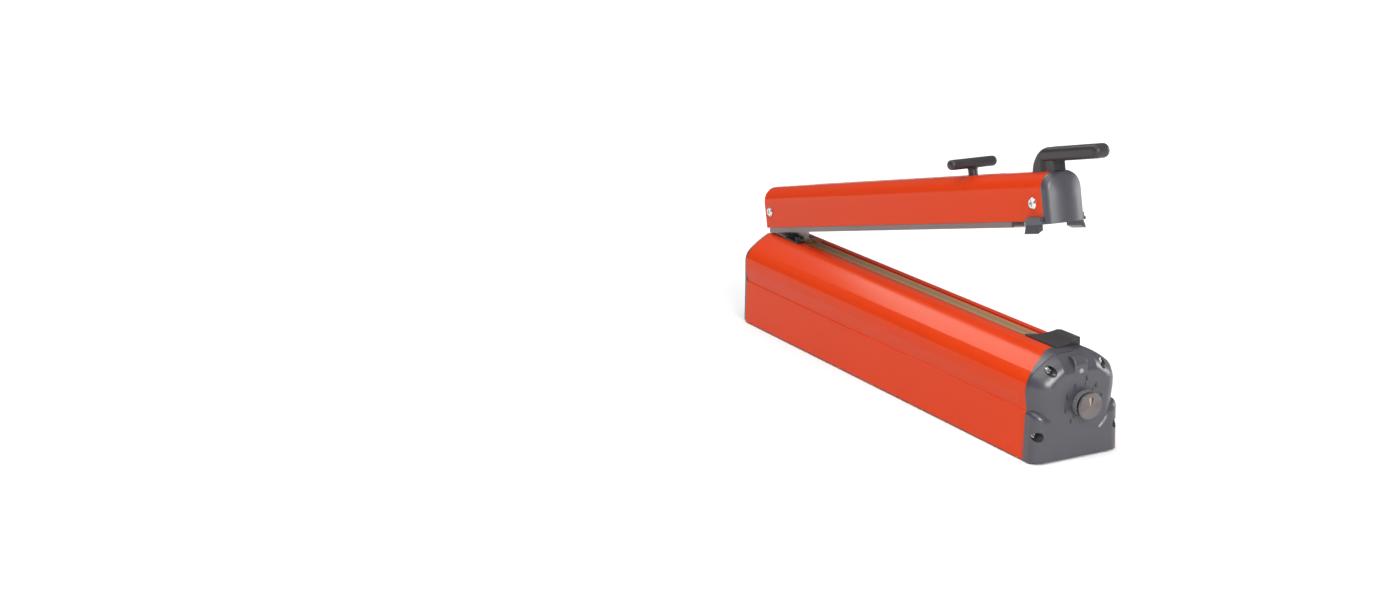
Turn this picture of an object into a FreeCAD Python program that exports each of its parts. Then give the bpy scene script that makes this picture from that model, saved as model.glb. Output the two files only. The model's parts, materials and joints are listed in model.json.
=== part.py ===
import FreeCAD, Part
import math
import os
import re

import Sketcher

# Impulse heat sealer, drawn in millimetres with +Z up and +X towards the timer end.
# The arm is drawn closed and turned open about its hinge pin by its placement.

V = FreeCAD.Vector
doc = FreeCAD.newDocument("impulse_heat_sealer")

DRIVING = [
    ("rear_x", -281.24, "rear end of the housing, so that the open machine is centred"),
    ("housing_length", 536, "length of the extruded housing"),
    ("skirt_bottom", 2, "height of the skirt's lower edge over the table"),
    ("skirt_half", 50, "half width at the lower edge"),
    ("skirt_top_half", 48.2, "half width at the ledge"),
    ("ledge_z", 48, "height of the ledge along each side"),
    ("waist_half", 47, "half width just over the ledge"),
    ("belly_half", 48.9, "half width of the upper bulge"),
    ("belly_low", 64, "where the upper bulge becomes upright"),
    ("belly_z", 70, "where the shoulder starts to turn in"),
    ("shoulder_r", 20, "radius of the shoulder"),
    ("shoulder_turn", 50, "degrees that the shoulder turns"),
    ("crown_r", 108.3, "radius from the shoulder to the flat"),
    ("flat_half", 19, "half width of the flat top"),
    ("top_height", 100, "height of the flat top"),
    ("wall", 2.2, "wall of the housing and the arm cover"),
    ("cap_depth", 18.5, "depth of the front cap"),
    ("cap_proud", 0.4, "how far the front cap stands out round the housing"),
    ("cap_inset", 18, "how far the cap's dome closes in towards its face"),
    ("cap_taper", 0.3, "share of that inset that is an even taper"),
    ("cap_corner", 12, "rounding of the lower part of the front cap"),
    ("cap_ledge", 5, "rounding of the front cap's lower block towards the dome"),
    ("hood_rear", 516, "rear edge of the cap's hood on the middle line"),
    ("hood_slant", 0.43, "how far the hood's edge runs forward for each unit sideways"),
    ("lamp_z", 85.5, "height of the lamp lens"),
    ("spine_half", 7.5, "half width of the spine over the lamp"),
    ("cap_wall", 3, "wall of the front cap"),
    ("end_depth", 4, "depth of the rear cap"),
    ("screw_high_y", 29.5, "upper cap screws from the middle"),
    ("screw_high_z", 87, "height of the upper cap screws"),
    ("screw_low_y", 44.5, "lower cap screws from the middle"),
    ("screw_low_z", 27, "height of the lower cap screws"),
    ("bed_half", 7.2, "half width of the element bed"),
    ("bed_rear", 62, "rear end of the element bed"),
    ("bed_front", 476, "front end of the element bed"),
    ("guard_front", 524.5, "front end of the knife guard"),
    ("guard_height", 7.6, "height of the knife guard"),
    ("guard_left", -7.4, "low side of the knife guard"),
    ("guard_right", 20.8, "high side of the knife guard"),
    ("groove_y", 11, "knife groove from the middle"),
    ("groove_half", 1.6, "half width of the knife groove"),
    ("arm_overhang", 5.3, "arm behind the housing's rear end"),
    ("arm_length", 531, "length of the arm cover"),
    ("arm_half", 21.5, "half width of the arm cover"),
    ("arm_bottom", 108.2, "lower edge of the closed arm cover"),
    ("arm_height", 44.5, "height of the arm cover"),
    ("arm_round", 16.5, "rounding of the arm cover's upper edges"),
    ("open_angle", 12.6, "degrees that the arm stands open"),
    ("pivot_x", 6.4, "hinge pin from the housing's rear end"),
    ("pivot_z", 126, "height of the hinge pin"),
    ("pin_r", 4, "radius of the hinge pin"),
    ("running_gap", 0.05, "radial clearance of a running fit"),
    ("bar_drop", 5.6, "pressure bar below the arm cover"),
    ("bar_rear", 4, "rear end of the pressure bar along the arm"),
    ("bar_front", 478, "front end of the pressure bar along the arm"),
    ("cutter_at", 391, "cutter knob along the arm"),
    ("slot_half", 5.2, "half width of the slot for the knob's neck"),
    ("neck_r", 4.7, "radius of the knob's neck"),
    ("nose_depth", 8, "nose in front of the arm cover"),
    ("handle_half", 9, "half width of the handle"),
    ("handle_tip", 603, "tip of the handle along the arm"),
    ("grip_low", 53, "lower side of the grip over the arm cover's lower edge"),
    ("grip_thick", 13.5, "thickness of the grip"),
    ("elbow_r", 26, "outer radius of the handle's elbow"),
    ("knob_y", 4, "timer knob from the middle"),
    ("knob_z", 53.5, "height of the timer knob"),
    ("knob_r", 13.5, "radius of the timer knob"),
    ("shaft_r", 3, "radius of the timer shaft"),
    ("plunger_x", 54, "switch plunger from the housing's rear end"),
    ("plunger_y", -13.9, "switch plunger from the middle"),
    ("plunger_r", 2.6, "radius of the switch plunger"),
    ("plunger_top", 107.6, "height of the free plunger"),
]

sheet = doc.addObject("Spreadsheet::Sheet", "Sheet")
for row, (alias, value, meaning) in enumerate(DRIVING, 1):
    sheet.set(f"A{row}", meaning)
    sheet.set(f"B{row}", str(value))
    sheet.setAlias(f"B{row}", alias)
doc.recompute()

ALIASES = {entry[0] for entry in DRIVING}
PIECES = []
TURNS = {
    "X": FreeCAD.Rotation(V(0, 1, 0), 90),
    "Y": FreeCAD.Rotation(V(1, 0, 0), -90),
    "-Y": FreeCAD.Rotation(V(1, 0, 0), 90),
    "Z": FreeCAD.Rotation(),
}


def bound(text):
    """Writes the sheet's name before each alias of a size given in words."""
    def named(word):
        return f"Sheet.{word.group()}" if word.group() in ALIASES else word.group()
    return re.sub(r"[a-z_]{3,}", named, str(text))


def number(text):
    """The present value of a size given in words."""
    return float(sheet.evalExpression(bound(text)))


def bind(thing, prop, text):
    thing.setExpression(prop, bound(text))


def along(text):
    """X of a place measured from the housing's rear end."""
    return f"(rear_x + {text})"


def up_front(text):
    """X of a place measured from the housing's front end."""
    return f"(rear_x + housing_length + {text})"


def arm_x(text):
    """X of a place measured along the closed arm from its rear end."""
    return f"(rear_x - arm_overhang + {text})"


def arm_z(text):
    """Z of a place measured up from the closed arm cover's lower edge."""
    return f"(arm_bottom + {text})"


def place(thing, at, axis="Z"):
    """Puts an object at a bound place with its own Z along the named axis."""
    thing.Placement = FreeCAD.Placement(V(), TURNS[axis])
    for letter, text in zip("xyz", at):
        bind(thing, f"Placement.Base.{letter}", text)
    return thing


def box(name, low, high):
    """A block between two bound corners."""
    made = doc.addObject("Part::Box", name)
    for prop, start, end in zip(("Length", "Width", "Height"), low, high):
        bind(made, prop, f"({end}) - ({start})")
    return place(made, low)


def rod(name, radius, at, length, axis="Z"):
    """A cylinder from a bound place along the named axis."""
    made = doc.addObject("Part::Cylinder", name)
    bind(made, "Radius", radius)
    bind(made, "Height", length)
    return place(made, at, axis)


def cone(name, low_r, high_r, at, length, axis="Z"):
    """A round taper from a bound place along the named axis."""
    made = doc.addObject("Part::Cone", name)
    bind(made, "Radius1", low_r)
    bind(made, "Radius2", high_r)
    bind(made, "Height", length)
    return place(made, at, axis)


def fuse(name, *shapes):
    made = doc.addObject("Part::MultiFuse", name)
    made.Shapes = list(shapes)
    made.Refine = True
    return made


def cut(name, base, *tools):
    made = doc.addObject("Part::Cut", name)
    made.Base = base
    made.Tool = tools[0] if len(tools) == 1 else fuse(f"{name}_tools", *tools)
    return made


def common(name, *shapes):
    """What several shapes share."""
    made = doc.addObject("Part::MultiCommon", name)
    made.Shapes = list(shapes)
    return made


def cross_recess(name, at, axis, top, reach, depth="1.3"):
    """Two crossed slots down from a screw head's top; the top is measured from a place along an axis."""
    spread = {"X": ("Y", "Z"), "Y": ("X", "Z"), "Z": ("X", "Y")}[axis]
    slots = []
    for wide in spread:
        low, high = list(at), list(at)
        for spot, letter in enumerate("XYZ"):
            half = reach if letter == wide else "0.6"
            if letter == axis:
                ends = sorted((f"{at[spot]} + {top}", f"{at[spot]} + ({top}) - ({depth})"), key=number)
                low[spot], high[spot] = ends
            else:
                low[spot], high[spot] = f"{at[spot]} - {half}", f"{at[spot]} + {half}"
        slots.append(box(f"{name}_{wide}", low, high))
    return slots


def group(name, *solids):
    """Equal separate solids that share one sub-part."""
    made = doc.addObject("Part::Compound", name)
    made.Links = list(solids)
    return made


def piece(label, thing, on_arm=False):
    """Names a finished sub-part; one that rides the arm is turned open with it."""
    thing.Label = label
    if on_arm:
        px, pz = along("pivot_x"), "pivot_z"
        cosine, sine = "cos(open_angle)", "sin(open_angle)"
        bind(thing, "Placement.Rotation.Axis.y", "1")
        bind(thing, "Placement.Rotation.Axis.z", "0")
        bind(thing, "Placement.Rotation.Angle", "-open_angle")
        bind(thing, "Placement.Base.x", f"{px} - {px} * {cosine} + {pz} * {sine}")
        bind(thing, "Placement.Base.z", f"{pz} - {px} * {sine} - {pz} * {cosine}")
    PIECES.append(thing)
    return thing


def body_of(name):
    return doc.addObject("PartDesign::Body", name)


def arc_between(here, there, radius, turn):
    """An arc that turns left (1) or right (-1) from here to there, and which of its ends is here."""
    chord = there - here
    rise = math.sqrt(max(radius ** 2 - chord.Length ** 2 / 4, 0))
    left = V(-chord.y, chord.x, 0) / chord.Length
    centre = (here + there) * 0.5 + left * rise * turn
    first, last = (here, there) if turn > 0 else (there, here)
    start = math.atan2(first.y - centre.y, first.x - centre.x)
    end = math.atan2(last.y - centre.y, last.x - centre.x)
    if end < start:
        end += 2 * math.pi
    circle = Part.Circle(centre, V(0, 0, 1), radius)
    return Part.ArcOfCircle(circle, start, end), 1 if turn > 0 else 2


def outline(body, name, plane, path, lift="0"):
    """A closed outline whose points are tied to the sheet.

    A path holds points (across, up); ("arc", radius, turn) between two points rounds that edge.
    """
    sketch = body.newObject("Sketcher::SketchObject", name)
    support = next(item for item in body.Origin.OriginFeatures if item.Role == plane)
    sketch.AttachmentSupport = [(support, "")]
    sketch.MapMode = "FlatFace"
    bind(sketch, "AttachmentOffset.Base.z", lift)
    points, rounds = [], {}
    for item in path:
        if item[0] == "arc":
            rounds[len(points) - 1] = item[1:]
        else:
            points.append(item)
    spots = [V(number(across), number(rise), 0) for across, rise in points]
    starts = []
    for index, here in enumerate(spots):
        there = spots[(index + 1) % len(spots)]
        edge, start = Part.LineSegment(here, there), 1
        if index in rounds:
            radius, turn = rounds[index]
            edge, start = arc_between(here, there, number(radius), turn)
        sketch.addGeometry(edge, False)
        starts.append(start)

    def tie(text, kind, *where):
        spot = sketch.addConstraint(Sketcher.Constraint(kind, *where, number(text)))
        sketch.setExpression(f"Constraints[{spot}]", bound(text))

    for index, (across, rise) in enumerate(points):
        after = (index + 1) % len(points)
        sketch.addConstraint(
            Sketcher.Constraint("Coincident", index, 3 - starts[index], after, starts[after]))
        tie(across, "DistanceX", -1, 1, index, starts[index])
        tie(rise, "DistanceY", -1, 1, index, starts[index])
        if index in rounds:
            tie(rounds[index][0], "Radius", index)
    return sketch


def mirrored(half):
    """Closes the right half of an outline, drawn upwards, with its mirror image."""
    other = [item if item[0] == "arc" else (f"-({item[0]})", item[1]) for item in reversed(half)]
    return half + other


def pad(body, name, sketch, length, both_ways=False):
    made = body.newObject("PartDesign::Pad", name)
    made.Profile = sketch
    bind(made, "Length", length)
    if both_ways:
        made.SideType = "Symmetric"
    body.Tip = made
    return made


def prism(name, plane, path, start, length, both_ways=False):
    """A body with one outline drawn out to a length."""
    body = body_of(name)
    sketch = outline(body, f"{name}_outline", plane, path, start)
    pad(body, f"{name}_pad", sketch, length, both_ways)
    return body


def soften(body, name, radius, chosen):
    """Rounds the edges of a body's last feature that pass a test."""
    doc.recompute()
    base = body.Tip
    edges = [f"Edge{spot}" for spot, edge in enumerate(base.Shape.Edges, 1) if chosen(edge)]
    made = body.newObject("PartDesign::Fillet", name)
    made.Base = (base, edges)
    bind(made, "Radius", radius)
    body.Tip = made
    return made


def turned(name, path, at, axis):
    """A round body: a half section (radius, height) turned about its axis and put in place."""
    body = body_of(name)
    sketch = outline(body, f"{name}_section", "XZ_Plane", path)
    made = body.newObject("PartDesign::Revolution", f"{name}_turn")
    made.Profile = sketch
    made.ReferenceAxis = (sketch, ["V_Axis"])
    made.Angle = 360
    body.Tip = made
    place(body, at, axis)
    return body


def arch_half(grow, foot):
    """Right half of the housing's arch from a foot height, grown outwards by some amount."""
    radius = f"(shoulder_r + {grow})"
    middle = "belly_half - shoulder_r"
    return [
        (f"belly_half + {grow}", foot),
        (f"belly_half + {grow}", "belly_z"),
        ("arc", radius, 1),
        (f"{middle} + {radius} * cos(shoulder_turn)", f"belly_z + {radius} * sin(shoulder_turn)"),
        ("arc", f"crown_r + {grow}", 1),
        ("flat_half", f"top_height + {grow}"),
    ]


def screw_spots():
    """Where the four screws of a cap go in."""
    spots = []
    for side in ("-", ""):
        spots.append((f"{side}screw_high_y", "screw_high_z"))
        spots.append((f"{side}screw_low_y", "screw_low_z"))
    return spots


def housing():
    """The extruded shell: one wall all round, open below, with screw channels, rails and a thick top."""
    half = [
        ("skirt_half", "skirt_bottom"),
        ("skirt_top_half", "ledge_z"),
        ("waist_half", "ledge_z + 0.6"),
    ]
    half += arch_half("0", "belly_low")
    shell = prism("shell", "YZ_Plane", mirrored(half), "rear_x", "housing_length")
    doc.recompute()
    solid = shell.Tip
    open_faces = []
    for spot, face in enumerate(solid.Shape.Faces, 1):
        middle = face.CenterOfMass
        ends = (number("rear_x"), number(up_front("0")))
        at_end = any(abs(middle.x - end) < 0.01 for end in ends)
        if at_end or abs(middle.z - number("skirt_bottom")) < 0.01:
            open_faces.append(f"Face{spot}")
    hollow = shell.newObject("PartDesign::Thickness", "shell_wall")
    hollow.Base = (solid, open_faces)
    bind(hollow, "Value", "wall")
    hollow.Reversed = True
    shell.Tip = hollow

    front = up_front("0")
    ribs = [box("thick_top", ("rear_x", "-18.5", "top_height - 8"),
                (front, "18.5", "top_height - wall + 0.4"))]
    for side, inner, outer in (("left", "-48", "-42.5"), ("right", "42.5", "48")):
        ribs.append(box(f"{side}_floor_lip", ("rear_x", inner, "skirt_bottom + 2"),
                        (front, outer, "skirt_bottom + 4")))
    for side, inner, outer in (("left", "-46.5", "-43"), ("right", "43", "46.5")):
        ribs.append(box(f"{side}_board_rail", ("rear_x", inner, "38"), (front, outer, "39.8")))
    bores = []
    for spot, (y, z) in enumerate(screw_spots(), 1):
        ribs.append(rod(f"screw_channel_{spot}", "4.2", ("rear_x", y, z), "housing_length", "X"))
        bores.append(rod(f"screw_channel_bore_{spot}", "1.95", ("rear_x", y, z), "housing_length", "X"))
    whole = fuse("shell_with_ribs", shell, *ribs)
    top = "top_height + 2"
    bores.append(box("bed_channel", (along("50"), "-bed_half - 0.2", "top_height - 3"),
                     (along("494"), "bed_half + 0.2", top)))
    bores.append(box("knife_groove", (along("62"), "groove_y - groove_half", "top_height - 6"),
                     (along("480"), "groove_y + groove_half", top)))
    bores.append(rod("plunger_hole", "plunger_r + 0.5",
                     (along("plunger_x"), "plunger_y", "top_height - 10"), "12"))
    for spot, (x, y) in enumerate(bracket_screw_spots(), 1):
        bores.append(rod(f"bracket_thread_{spot}", "1.75", (along(x), y, "top_height - 8.5"), "10"))
    for spot, (x, y) in enumerate(floor_screw_spots(), 1):
        bores.append(rod(f"floor_thread_{spot}", "1.5", (along(x), y, "skirt_bottom + 1"), "4"))
    piece("housing", cut("housing", whole, *bores))


def bracket_screw_spots():
    return [("8", "-10.5"), ("8", "10.5"), ("38", "-6.8"), ("38", "6.8")]


def floor_screw_spots():
    return [(x, y) for x in ("14", "268", "522") for y in ("-44.6", "44.6")]


def foot_spots():
    return [(x, y) for x in ("40", "496") for y in ("-34", "34")]


def transformer_tab_spots():
    return [(x, y) for x in ("156", "244") for y in ("-10", "10")]


def floor():
    """Sheet steel floor on low rubber feet, screwed up into the housing's lips."""
    low, high = "skirt_bottom + 0.4", "skirt_bottom + 2"
    sheet_metal = box("floor_sheet", (along("1"), "-46.4", low), (along("535"), "46.4", high))
    holes = []
    for spot, (x, y) in enumerate(floor_screw_spots(), 1):
        holes.append(rod(f"floor_hole_{spot}", "1.55", (along(x), y, "skirt_bottom"), "3"))
    for spot, (x, y) in enumerate(transformer_tab_spots(), 1):
        holes.append(rod(f"tab_hole_{spot}", "1.95", (along(x), y, "skirt_bottom"), "3"))
    for spot, (x, y) in enumerate(foot_spots(), 1):
        holes.append(rod(f"foot_hole_{spot}", "4", (along(x), y, "skirt_bottom"), "3"))
    piece("bottom_plate", cut("bottom_plate", sheet_metal, *holes))
    screws, feet = [], []
    for spot, (x, y) in enumerate(floor_screw_spots(), 1):
        screws.append(turned(f"floor_screw_{spot}", [
            ("0", "0"), ("2.2", "0"), ("3", "0.7"), ("3", "1.4"), ("1.5", "1.4"), ("1.5", "5"), ("0", "5")],
            (along(x), y, "skirt_bottom - 1"), "Z"))
    piece("bottom_screws", group("bottom_screws", *screws))
    for spot, (x, y) in enumerate(foot_spots(), 1):
        feet.append(turned(f"foot_{spot}", [
            ("0", "0"), ("8", "0"), ("9", "1"), ("9", "2.4"), ("4", "2.4"), ("4", "4"),
            ("5", "4.6"), ("4", "6"), ("0", "6")], (along(x), y, "0"), "Z"))
    piece("rubber_feet", group("rubber_feet", *feet))


def lofted(name, plane, sections):
    """A body through several outlines, each a (path, lift) pair."""
    body = body_of(name)
    sketches = []
    for spot, (path, lift) in enumerate(sections, 1):
        sketches.append(outline(body, f"{name}_{spot}", plane, path, lift))
    made = body.newObject("PartDesign::AdditiveLoft", f"{name}_loft")
    made.Profile = sketches[0]
    made.Sections = sketches[1:]
    body.Tip = made
    return body


def cap_dome():
    """The upper part of the front cap: the housing's own outline, closing in on a tapered quarter ellipse."""
    sections = []
    for turn in (0, 20, 40, 58, 74, 90):
        closed = f"((1 - cap_taper) * (1 - cos({turn})) + cap_taper * sin({turn}))"
        grow = f"(cap_proud - cap_inset * {closed})"
        half = [(f"waist_half + {grow}", "skirt_bottom + 26"), (f"waist_half + {grow}", "ledge_z + 0.6")]
        half += arch_half(grow, "belly_low")
        sections.append((mirrored(half), up_front(f"cap_depth * sin({turn})")))
    return lofted("cap_dome", "YZ_Plane", sections)


def cap_block():
    """The lower part of the front cap: a block with large rounded corners."""
    half = [
        ("skirt_half + cap_proud", "skirt_bottom"),
        ("skirt_top_half + cap_proud", "ledge_z + 2"),
    ]
    block = prism("cap_block", "YZ_Plane", mirrored(half), up_front("0"), "cap_depth")
    soften(block, "cap_block_ledge", "cap_ledge", lambda edge: (
        edge.BoundBox.XLength > 1 and edge.BoundBox.ZMin > number("ledge_z")))
    face_x = number(up_front("cap_depth"))
    soften(block, "cap_block_round", "cap_corner", lambda edge: (
        abs(edge.BoundBox.XMin - face_x) < 0.01 and edge.BoundBox.XLength < 0.01
        and edge.BoundBox.ZMax > number("skirt_bottom") + 0.1))
    return block


def cap_spine():
    """A rib over the lamp that comes out of the dome's rounded top."""
    face = up_front("cap_depth + 0.6")
    path = [
        (up_front("8"), "lamp_z - 7.5"), (up_front("cap_depth - 0.4"), "lamp_z - 7.5"), (face, "lamp_z - 1"),
        (face, "lamp_z + 4.5"), ("arc", "9", 1), (up_front("cap_depth - 8.4"), "lamp_z + 13.5"),
        (up_front("8"), "lamp_z + 13.5"),
    ]
    spine = prism("cap_spine", "XZ_Plane", path, "0", "2 * spine_half", True)
    soften(spine, "cap_spine_round", "1.6", lambda edge: (
        edge.BoundBox.YLength < 0.01 and edge.BoundBox.XMax > number(up_front("cap_depth - 5"))))
    return spine


def cap_hood():
    """A thin lap of the front cap over the housing's top, with a slanted rear edge."""
    start, length = along("hood_rear - 10"), "housing_length - hood_rear + 12"
    outer = prism("hood_outer", "YZ_Plane", mirrored(arch_half("cap_proud", "belly_low")), start, length)
    inner = prism("hood_inner", "YZ_Plane", mirrored(arch_half("0", "belly_low - 1")),
                  along("hood_rear - 11"), "housing_length - hood_rear + 11")
    wide = "60"
    plan = [
        (along("hood_rear"), "0"), (along(f"hood_rear + hood_slant * {wide}"), f"-{wide}"),
        (up_front("2"), f"-{wide}"), (up_front("2"), wide), (along(f"hood_rear + hood_slant * {wide}"), wide),
    ]
    reach = prism("hood_plan", "XY_Plane", plan, "belly_z", "40")
    guard_room = box("guard_room", (along("hood_rear - 5"), "guard_left - 0.2", "top_height - 1"),
                     (along("guard_front + 0.2"), "guard_right + 0.2", "top_height + 2"))
    return common("cap_hood", cut("hood_shell", outer, inner, guard_room), reach)


def cap_openings(name):
    """Hollow, screw pockets and screw holes of a cap."""
    inner = "cap_depth - cap_wall"
    tools = [
        box(f"{name}_low_room", (up_front("-1"), "-34", "skirt_bottom + 3"), (up_front(inner), "34", "60")),
        box(f"{name}_high_room", (up_front("-1"), "-20", "50"), (up_front(inner), "20", "lamp_z + 4.5")),
    ]
    for spot, (y, z) in enumerate(screw_spots(), 1):
        tools.append(rod(f"{name}_pocket_{spot}", "4.6", (up_front("5"), y, z), "cap_depth", "X"))
        tools.append(rod(f"{name}_screw_hole_{spot}", "2.2", (up_front("-1"), y, z), "7", "X"))
    return tools


def cap_screws(name, seat):
    """Four pan head screws whose heads sit at some depth in front of the housing."""
    screws = []
    for spot, (y, z) in enumerate(screw_spots(), 1):
        screw = turned(f"{name}_turned_{spot}", [
            ("0", "-12"), ("1.9", "-12"), ("1.9", seat), ("3.6", seat), ("3.6", f"{seat} + 1.4"),
            ("2.4", f"{seat} + 2.6"), ("0", f"{seat} + 2.6")], (up_front("0"), y, z), "X")
        slots = cross_recess(f"{name}_slot_{spot}", (up_front("0"), y, z), "X", f"{seat} + 2.7", "2")
        screws.append(cut(f"{name}_{spot}", screw, *slots))
    return group(name, *screws)


def turned_round(thing):
    """Turns something drawn at the front end to the rear end."""
    bind(thing, "Placement.Rotation.Axis.z", "1")
    bind(thing, "Placement.Rotation.Angle", "180")
    bind(thing, "Placement.Base.x", "2 * rear_x + housing_length")
    return thing


def front_cap():
    """Deep moulded front cap: a lofted dome over a rounded block, with a spine, a hood and screw pockets."""
    tools = cap_openings("front")
    tools.append(rod("knob_hole", "3.6", (up_front("10"), "knob_y", "knob_z"), "cap_depth", "X"))
    tools.append(rod("lamp_hole", "2.5", (up_front("10"), "0", "lamp_z"), "cap_depth", "X"))
    blank = fuse("cap_blank", cap_block(), cap_dome(), cap_spine(), cap_hood())
    piece("front_cap", cut("front_cap", blank, *tools))
    piece("front_cap_screws", cap_screws("front_cap_screws", "5"))
    piece("indicator_lens", turned("indicator_lens", [
        ("0", "13"), ("3.6", "13"), ("3.6", "cap_depth - cap_wall"), ("2.5", "cap_depth - cap_wall"),
        ("2.5", "cap_depth + 0.4"), ("arc", "2.4", 1), ("0.8", "cap_depth + 1.6"), ("0", "cap_depth + 1.6")],
        (up_front("0"), "0", "lamp_z"), "X"))


def rear_cap():
    """Flat rear cap just inside the housing's outline, its screws and the cable gland."""
    half = [("skirt_half - 1", "skirt_bottom + 0.5")] + arch_half("-1", "ledge_z")
    plate = prism("rear_plate", "YZ_Plane", mirrored(half), up_front("0"), "end_depth")
    tools = [rod("gland_hole", "6", (up_front("-1"), "0", "30"), "end_depth + 2", "X")]
    for spot, (y, z) in enumerate(screw_spots(), 1):
        tools.append(rod(f"rear_screw_hole_{spot}", "2.2", (up_front("-1"), y, z), "end_depth + 2", "X"))
    piece("rear_cap", turned_round(cut("rear_cap", plate, *tools)))
    piece("rear_cap_screws", turned_round(cap_screws("rear_cap_screws", "end_depth")))
    gland = turned("gland", [
        ("3.6", "-3"), ("7.5", "-3"), ("7.5", "0"), ("6", "0"), ("6", "end_depth"), ("8.5", "end_depth"),
        ("8.5", "end_depth + 3"), ("5.5", "end_depth + 8"), ("3.6", "end_depth + 8")],
        (up_front("0"), "0", "30"), "X")
    piece("cable_gland", turned_round(group("cable_gland", gland)))


def saddle():
    """Knife guard at the front of the top: a hollow ramp that rises across the machine to a flat crest."""
    low, crest = "top_height", "top_height + guard_height"
    path = [
        ("guard_left", low), ("guard_right", low), ("guard_right", f"{crest} - 1"), ("arc", "1", 1),
        ("guard_right - 1", crest), ("guard_right - 4.3", crest), ("arc", "40", -1),
        ("guard_left + 1", f"{low} + 1.6"), ("arc", "1", 1), ("guard_left", f"{low} + 0.6"),
    ]
    body = prism("saddle", "YZ_Plane", path, along("470"), "guard_front - 470")
    front_x = number(along("guard_front"))
    soften(body, "saddle_round", "0.8", lambda edge: (
        edge.BoundBox.XMin > front_x - 0.01 and edge.BoundBox.ZMin > number("top_height + 1.5")))
    behind = prism("saddle_rear", "XY_Plane", [
        (along("460"), "-12"), (along("470.9"), "-12"), (along("498.5"), "24"), (along("460"), "24")],
        "top_height - 2", "14")
    clamp_room = box("front_terminal_room", (along("470"), "-6.2", "top_height - 1"),
                     (along("bed_front + 7"), "6.2", "top_height + 1.05"))
    bed_room = box("front_bed_room", (along("470"), "-bed_half - 0.2", "top_height - 1"),
                   (along("bed_front + 0.2"), "bed_half + 0.2", "top_height + 0.4"))
    piece("front_saddle", cut("front_saddle", body, behind, clamp_room, bed_room))


def sealing_bed():
    """Insulating bed, flat heating wire and the tape over it, with a clamp at each end."""
    wire_low = "top_height + 0.3"
    piece("element_bed", box("element_bed", (along("bed_rear"), "-bed_half", "top_height - 3"),
                             (along("bed_front"), "bed_half", wire_low)))
    piece("heating_wire", box("heating_wire", (along("bed_rear - 3.5"), "-1.5", wire_low),
                              (along("bed_front + 0.5"), "1.5", "top_height + 0.5")))
    tape_half = [
        ("1.6", "top_height + 0.5"),
        ("bed_half - 0.4", wire_low),
        ("bed_half - 0.4", "top_height + 0.5"),
        ("1.6", "top_height + 0.75"),
    ]
    tape_length = "bed_front - bed_rear - 2"
    piece("ptfe_tape", prism("ptfe_tape", "YZ_Plane", mirrored(tape_half), along("bed_rear"), tape_length))
    for label, start in (("rear_terminal", "bed_rear - 9.5"), ("front_terminal", "bed_front + 0.5")):
        clamp = box(f"{label}_block", (along(start), "-6", "top_height - 3"),
                    (along(f"{start} + 6"), "6", "top_height + 0.5"))
        screw = rod(f"{label}_screw", "2", (along(f"{start} + 3"), "0", "top_height - 3"), "3.9")
        piece(label, fuse(label, clamp, screw))


def hinge():
    """Bracket with a central blade, its screws, and the pin that the arm turns on."""
    wide = box("bracket_wide", (along("1"), "-15", "top_height"), (along("30"), "15", "top_height + 2"))
    narrow = box("bracket_narrow", (along("29"), "-10.2", "top_height"),
                 (along("50"), "10.2", "top_height + 2"))
    boss_r, boss_low = "9", "pivot_z - 6"
    blade_path = [
        (along("1.5"), "top_height + 1"),
        (along("50"), "top_height + 1"),
        (along("50"), "top_height + 17"),
        (along("pivot_x + 12"), "pivot_z + 5"),
        (along("pivot_x"), f"pivot_z + {boss_r}"),
        ("arc", boss_r, 1),
        (along(f"pivot_x - {boss_r}"), "pivot_z"),
        (along("-1"), boss_low),
    ]
    blade = prism("bracket_blade", "XZ_Plane", blade_path, "0", "6", True)
    tools = [rod("bracket_bore", "pin_r + running_gap", (along("pivot_x"), "-5", "pivot_z"), "10", "Y")]
    screws = []
    for spot, (x, y) in enumerate(bracket_screw_spots(), 1):
        tools.append(cone(f"bracket_sink_{spot}", "1.8", "3.3", (along(x), y, "top_height + 0.2"), "1.8"))
        tools.append(rod(f"bracket_hole_{spot}", "1.8", (along(x), y, "top_height - 1"), "2"))
        screws.append(turned(f"bracket_screw_{spot}", [
            ("0", "-7"), ("1.75", "-7"), ("1.75", "0.2"), ("3.2", "1.95"), ("0", "1.95")],
            (along(x), y, "top_height"), "Z"))
    piece("hinge_bracket", cut("hinge_bracket", fuse("bracket_whole", wide, narrow, blade), *tools))
    piece("bracket_screws", group("bracket_screws", *screws))

    block = box("block_whole", (arm_x("1"), "-19", "pivot_z - 8"), (arm_x("62"), "19", "pivot_z + 12"))
    blade_room = box("blade_room", (arm_x("0"), "-3.5", "pivot_z - 9"), (arm_x("61"), "3.5", "pivot_z + 9.6"))
    pin_bore = rod("block_bore", "pin_r", (along("pivot_x"), "-25", "pivot_z"), "50", "Y")
    piece("hinge_block", cut("hinge_block", block, blade_room, pin_bore), True)
    at = (along("pivot_x"), "0", "pivot_z")
    head = [("5.3", "arm_half"), ("5.3", "arm_half + 1"), ("4", "arm_half + 2.3"), ("0", "arm_half + 2.3")]
    barrel = [("2", "-14"), ("pin_r", "-14"), ("pin_r", "arm_half")] + head + [("0", "2"), ("2", "2")]
    slots = cross_recess("pin_slot", at, "Y", "arm_half + 2.4", "2.6")
    piece("hinge_pin", cut("hinge_pin", turned("pin_barrel", barrel, at, "Y"), *slots), True)
    shank = [("0", "0"), ("2", "0"), ("2", "16"), ("pin_r - 0.2", "16"), ("pin_r - 0.2", "arm_half")] + head
    slots = cross_recess("pin_screw_slot", at, "Y", "-(arm_half + 2.4)", "2.6", "-1.3")
    piece("hinge_screw", cut("hinge_screw", turned("pin_screw", shank, at, "-Y"), *slots), True)


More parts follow.
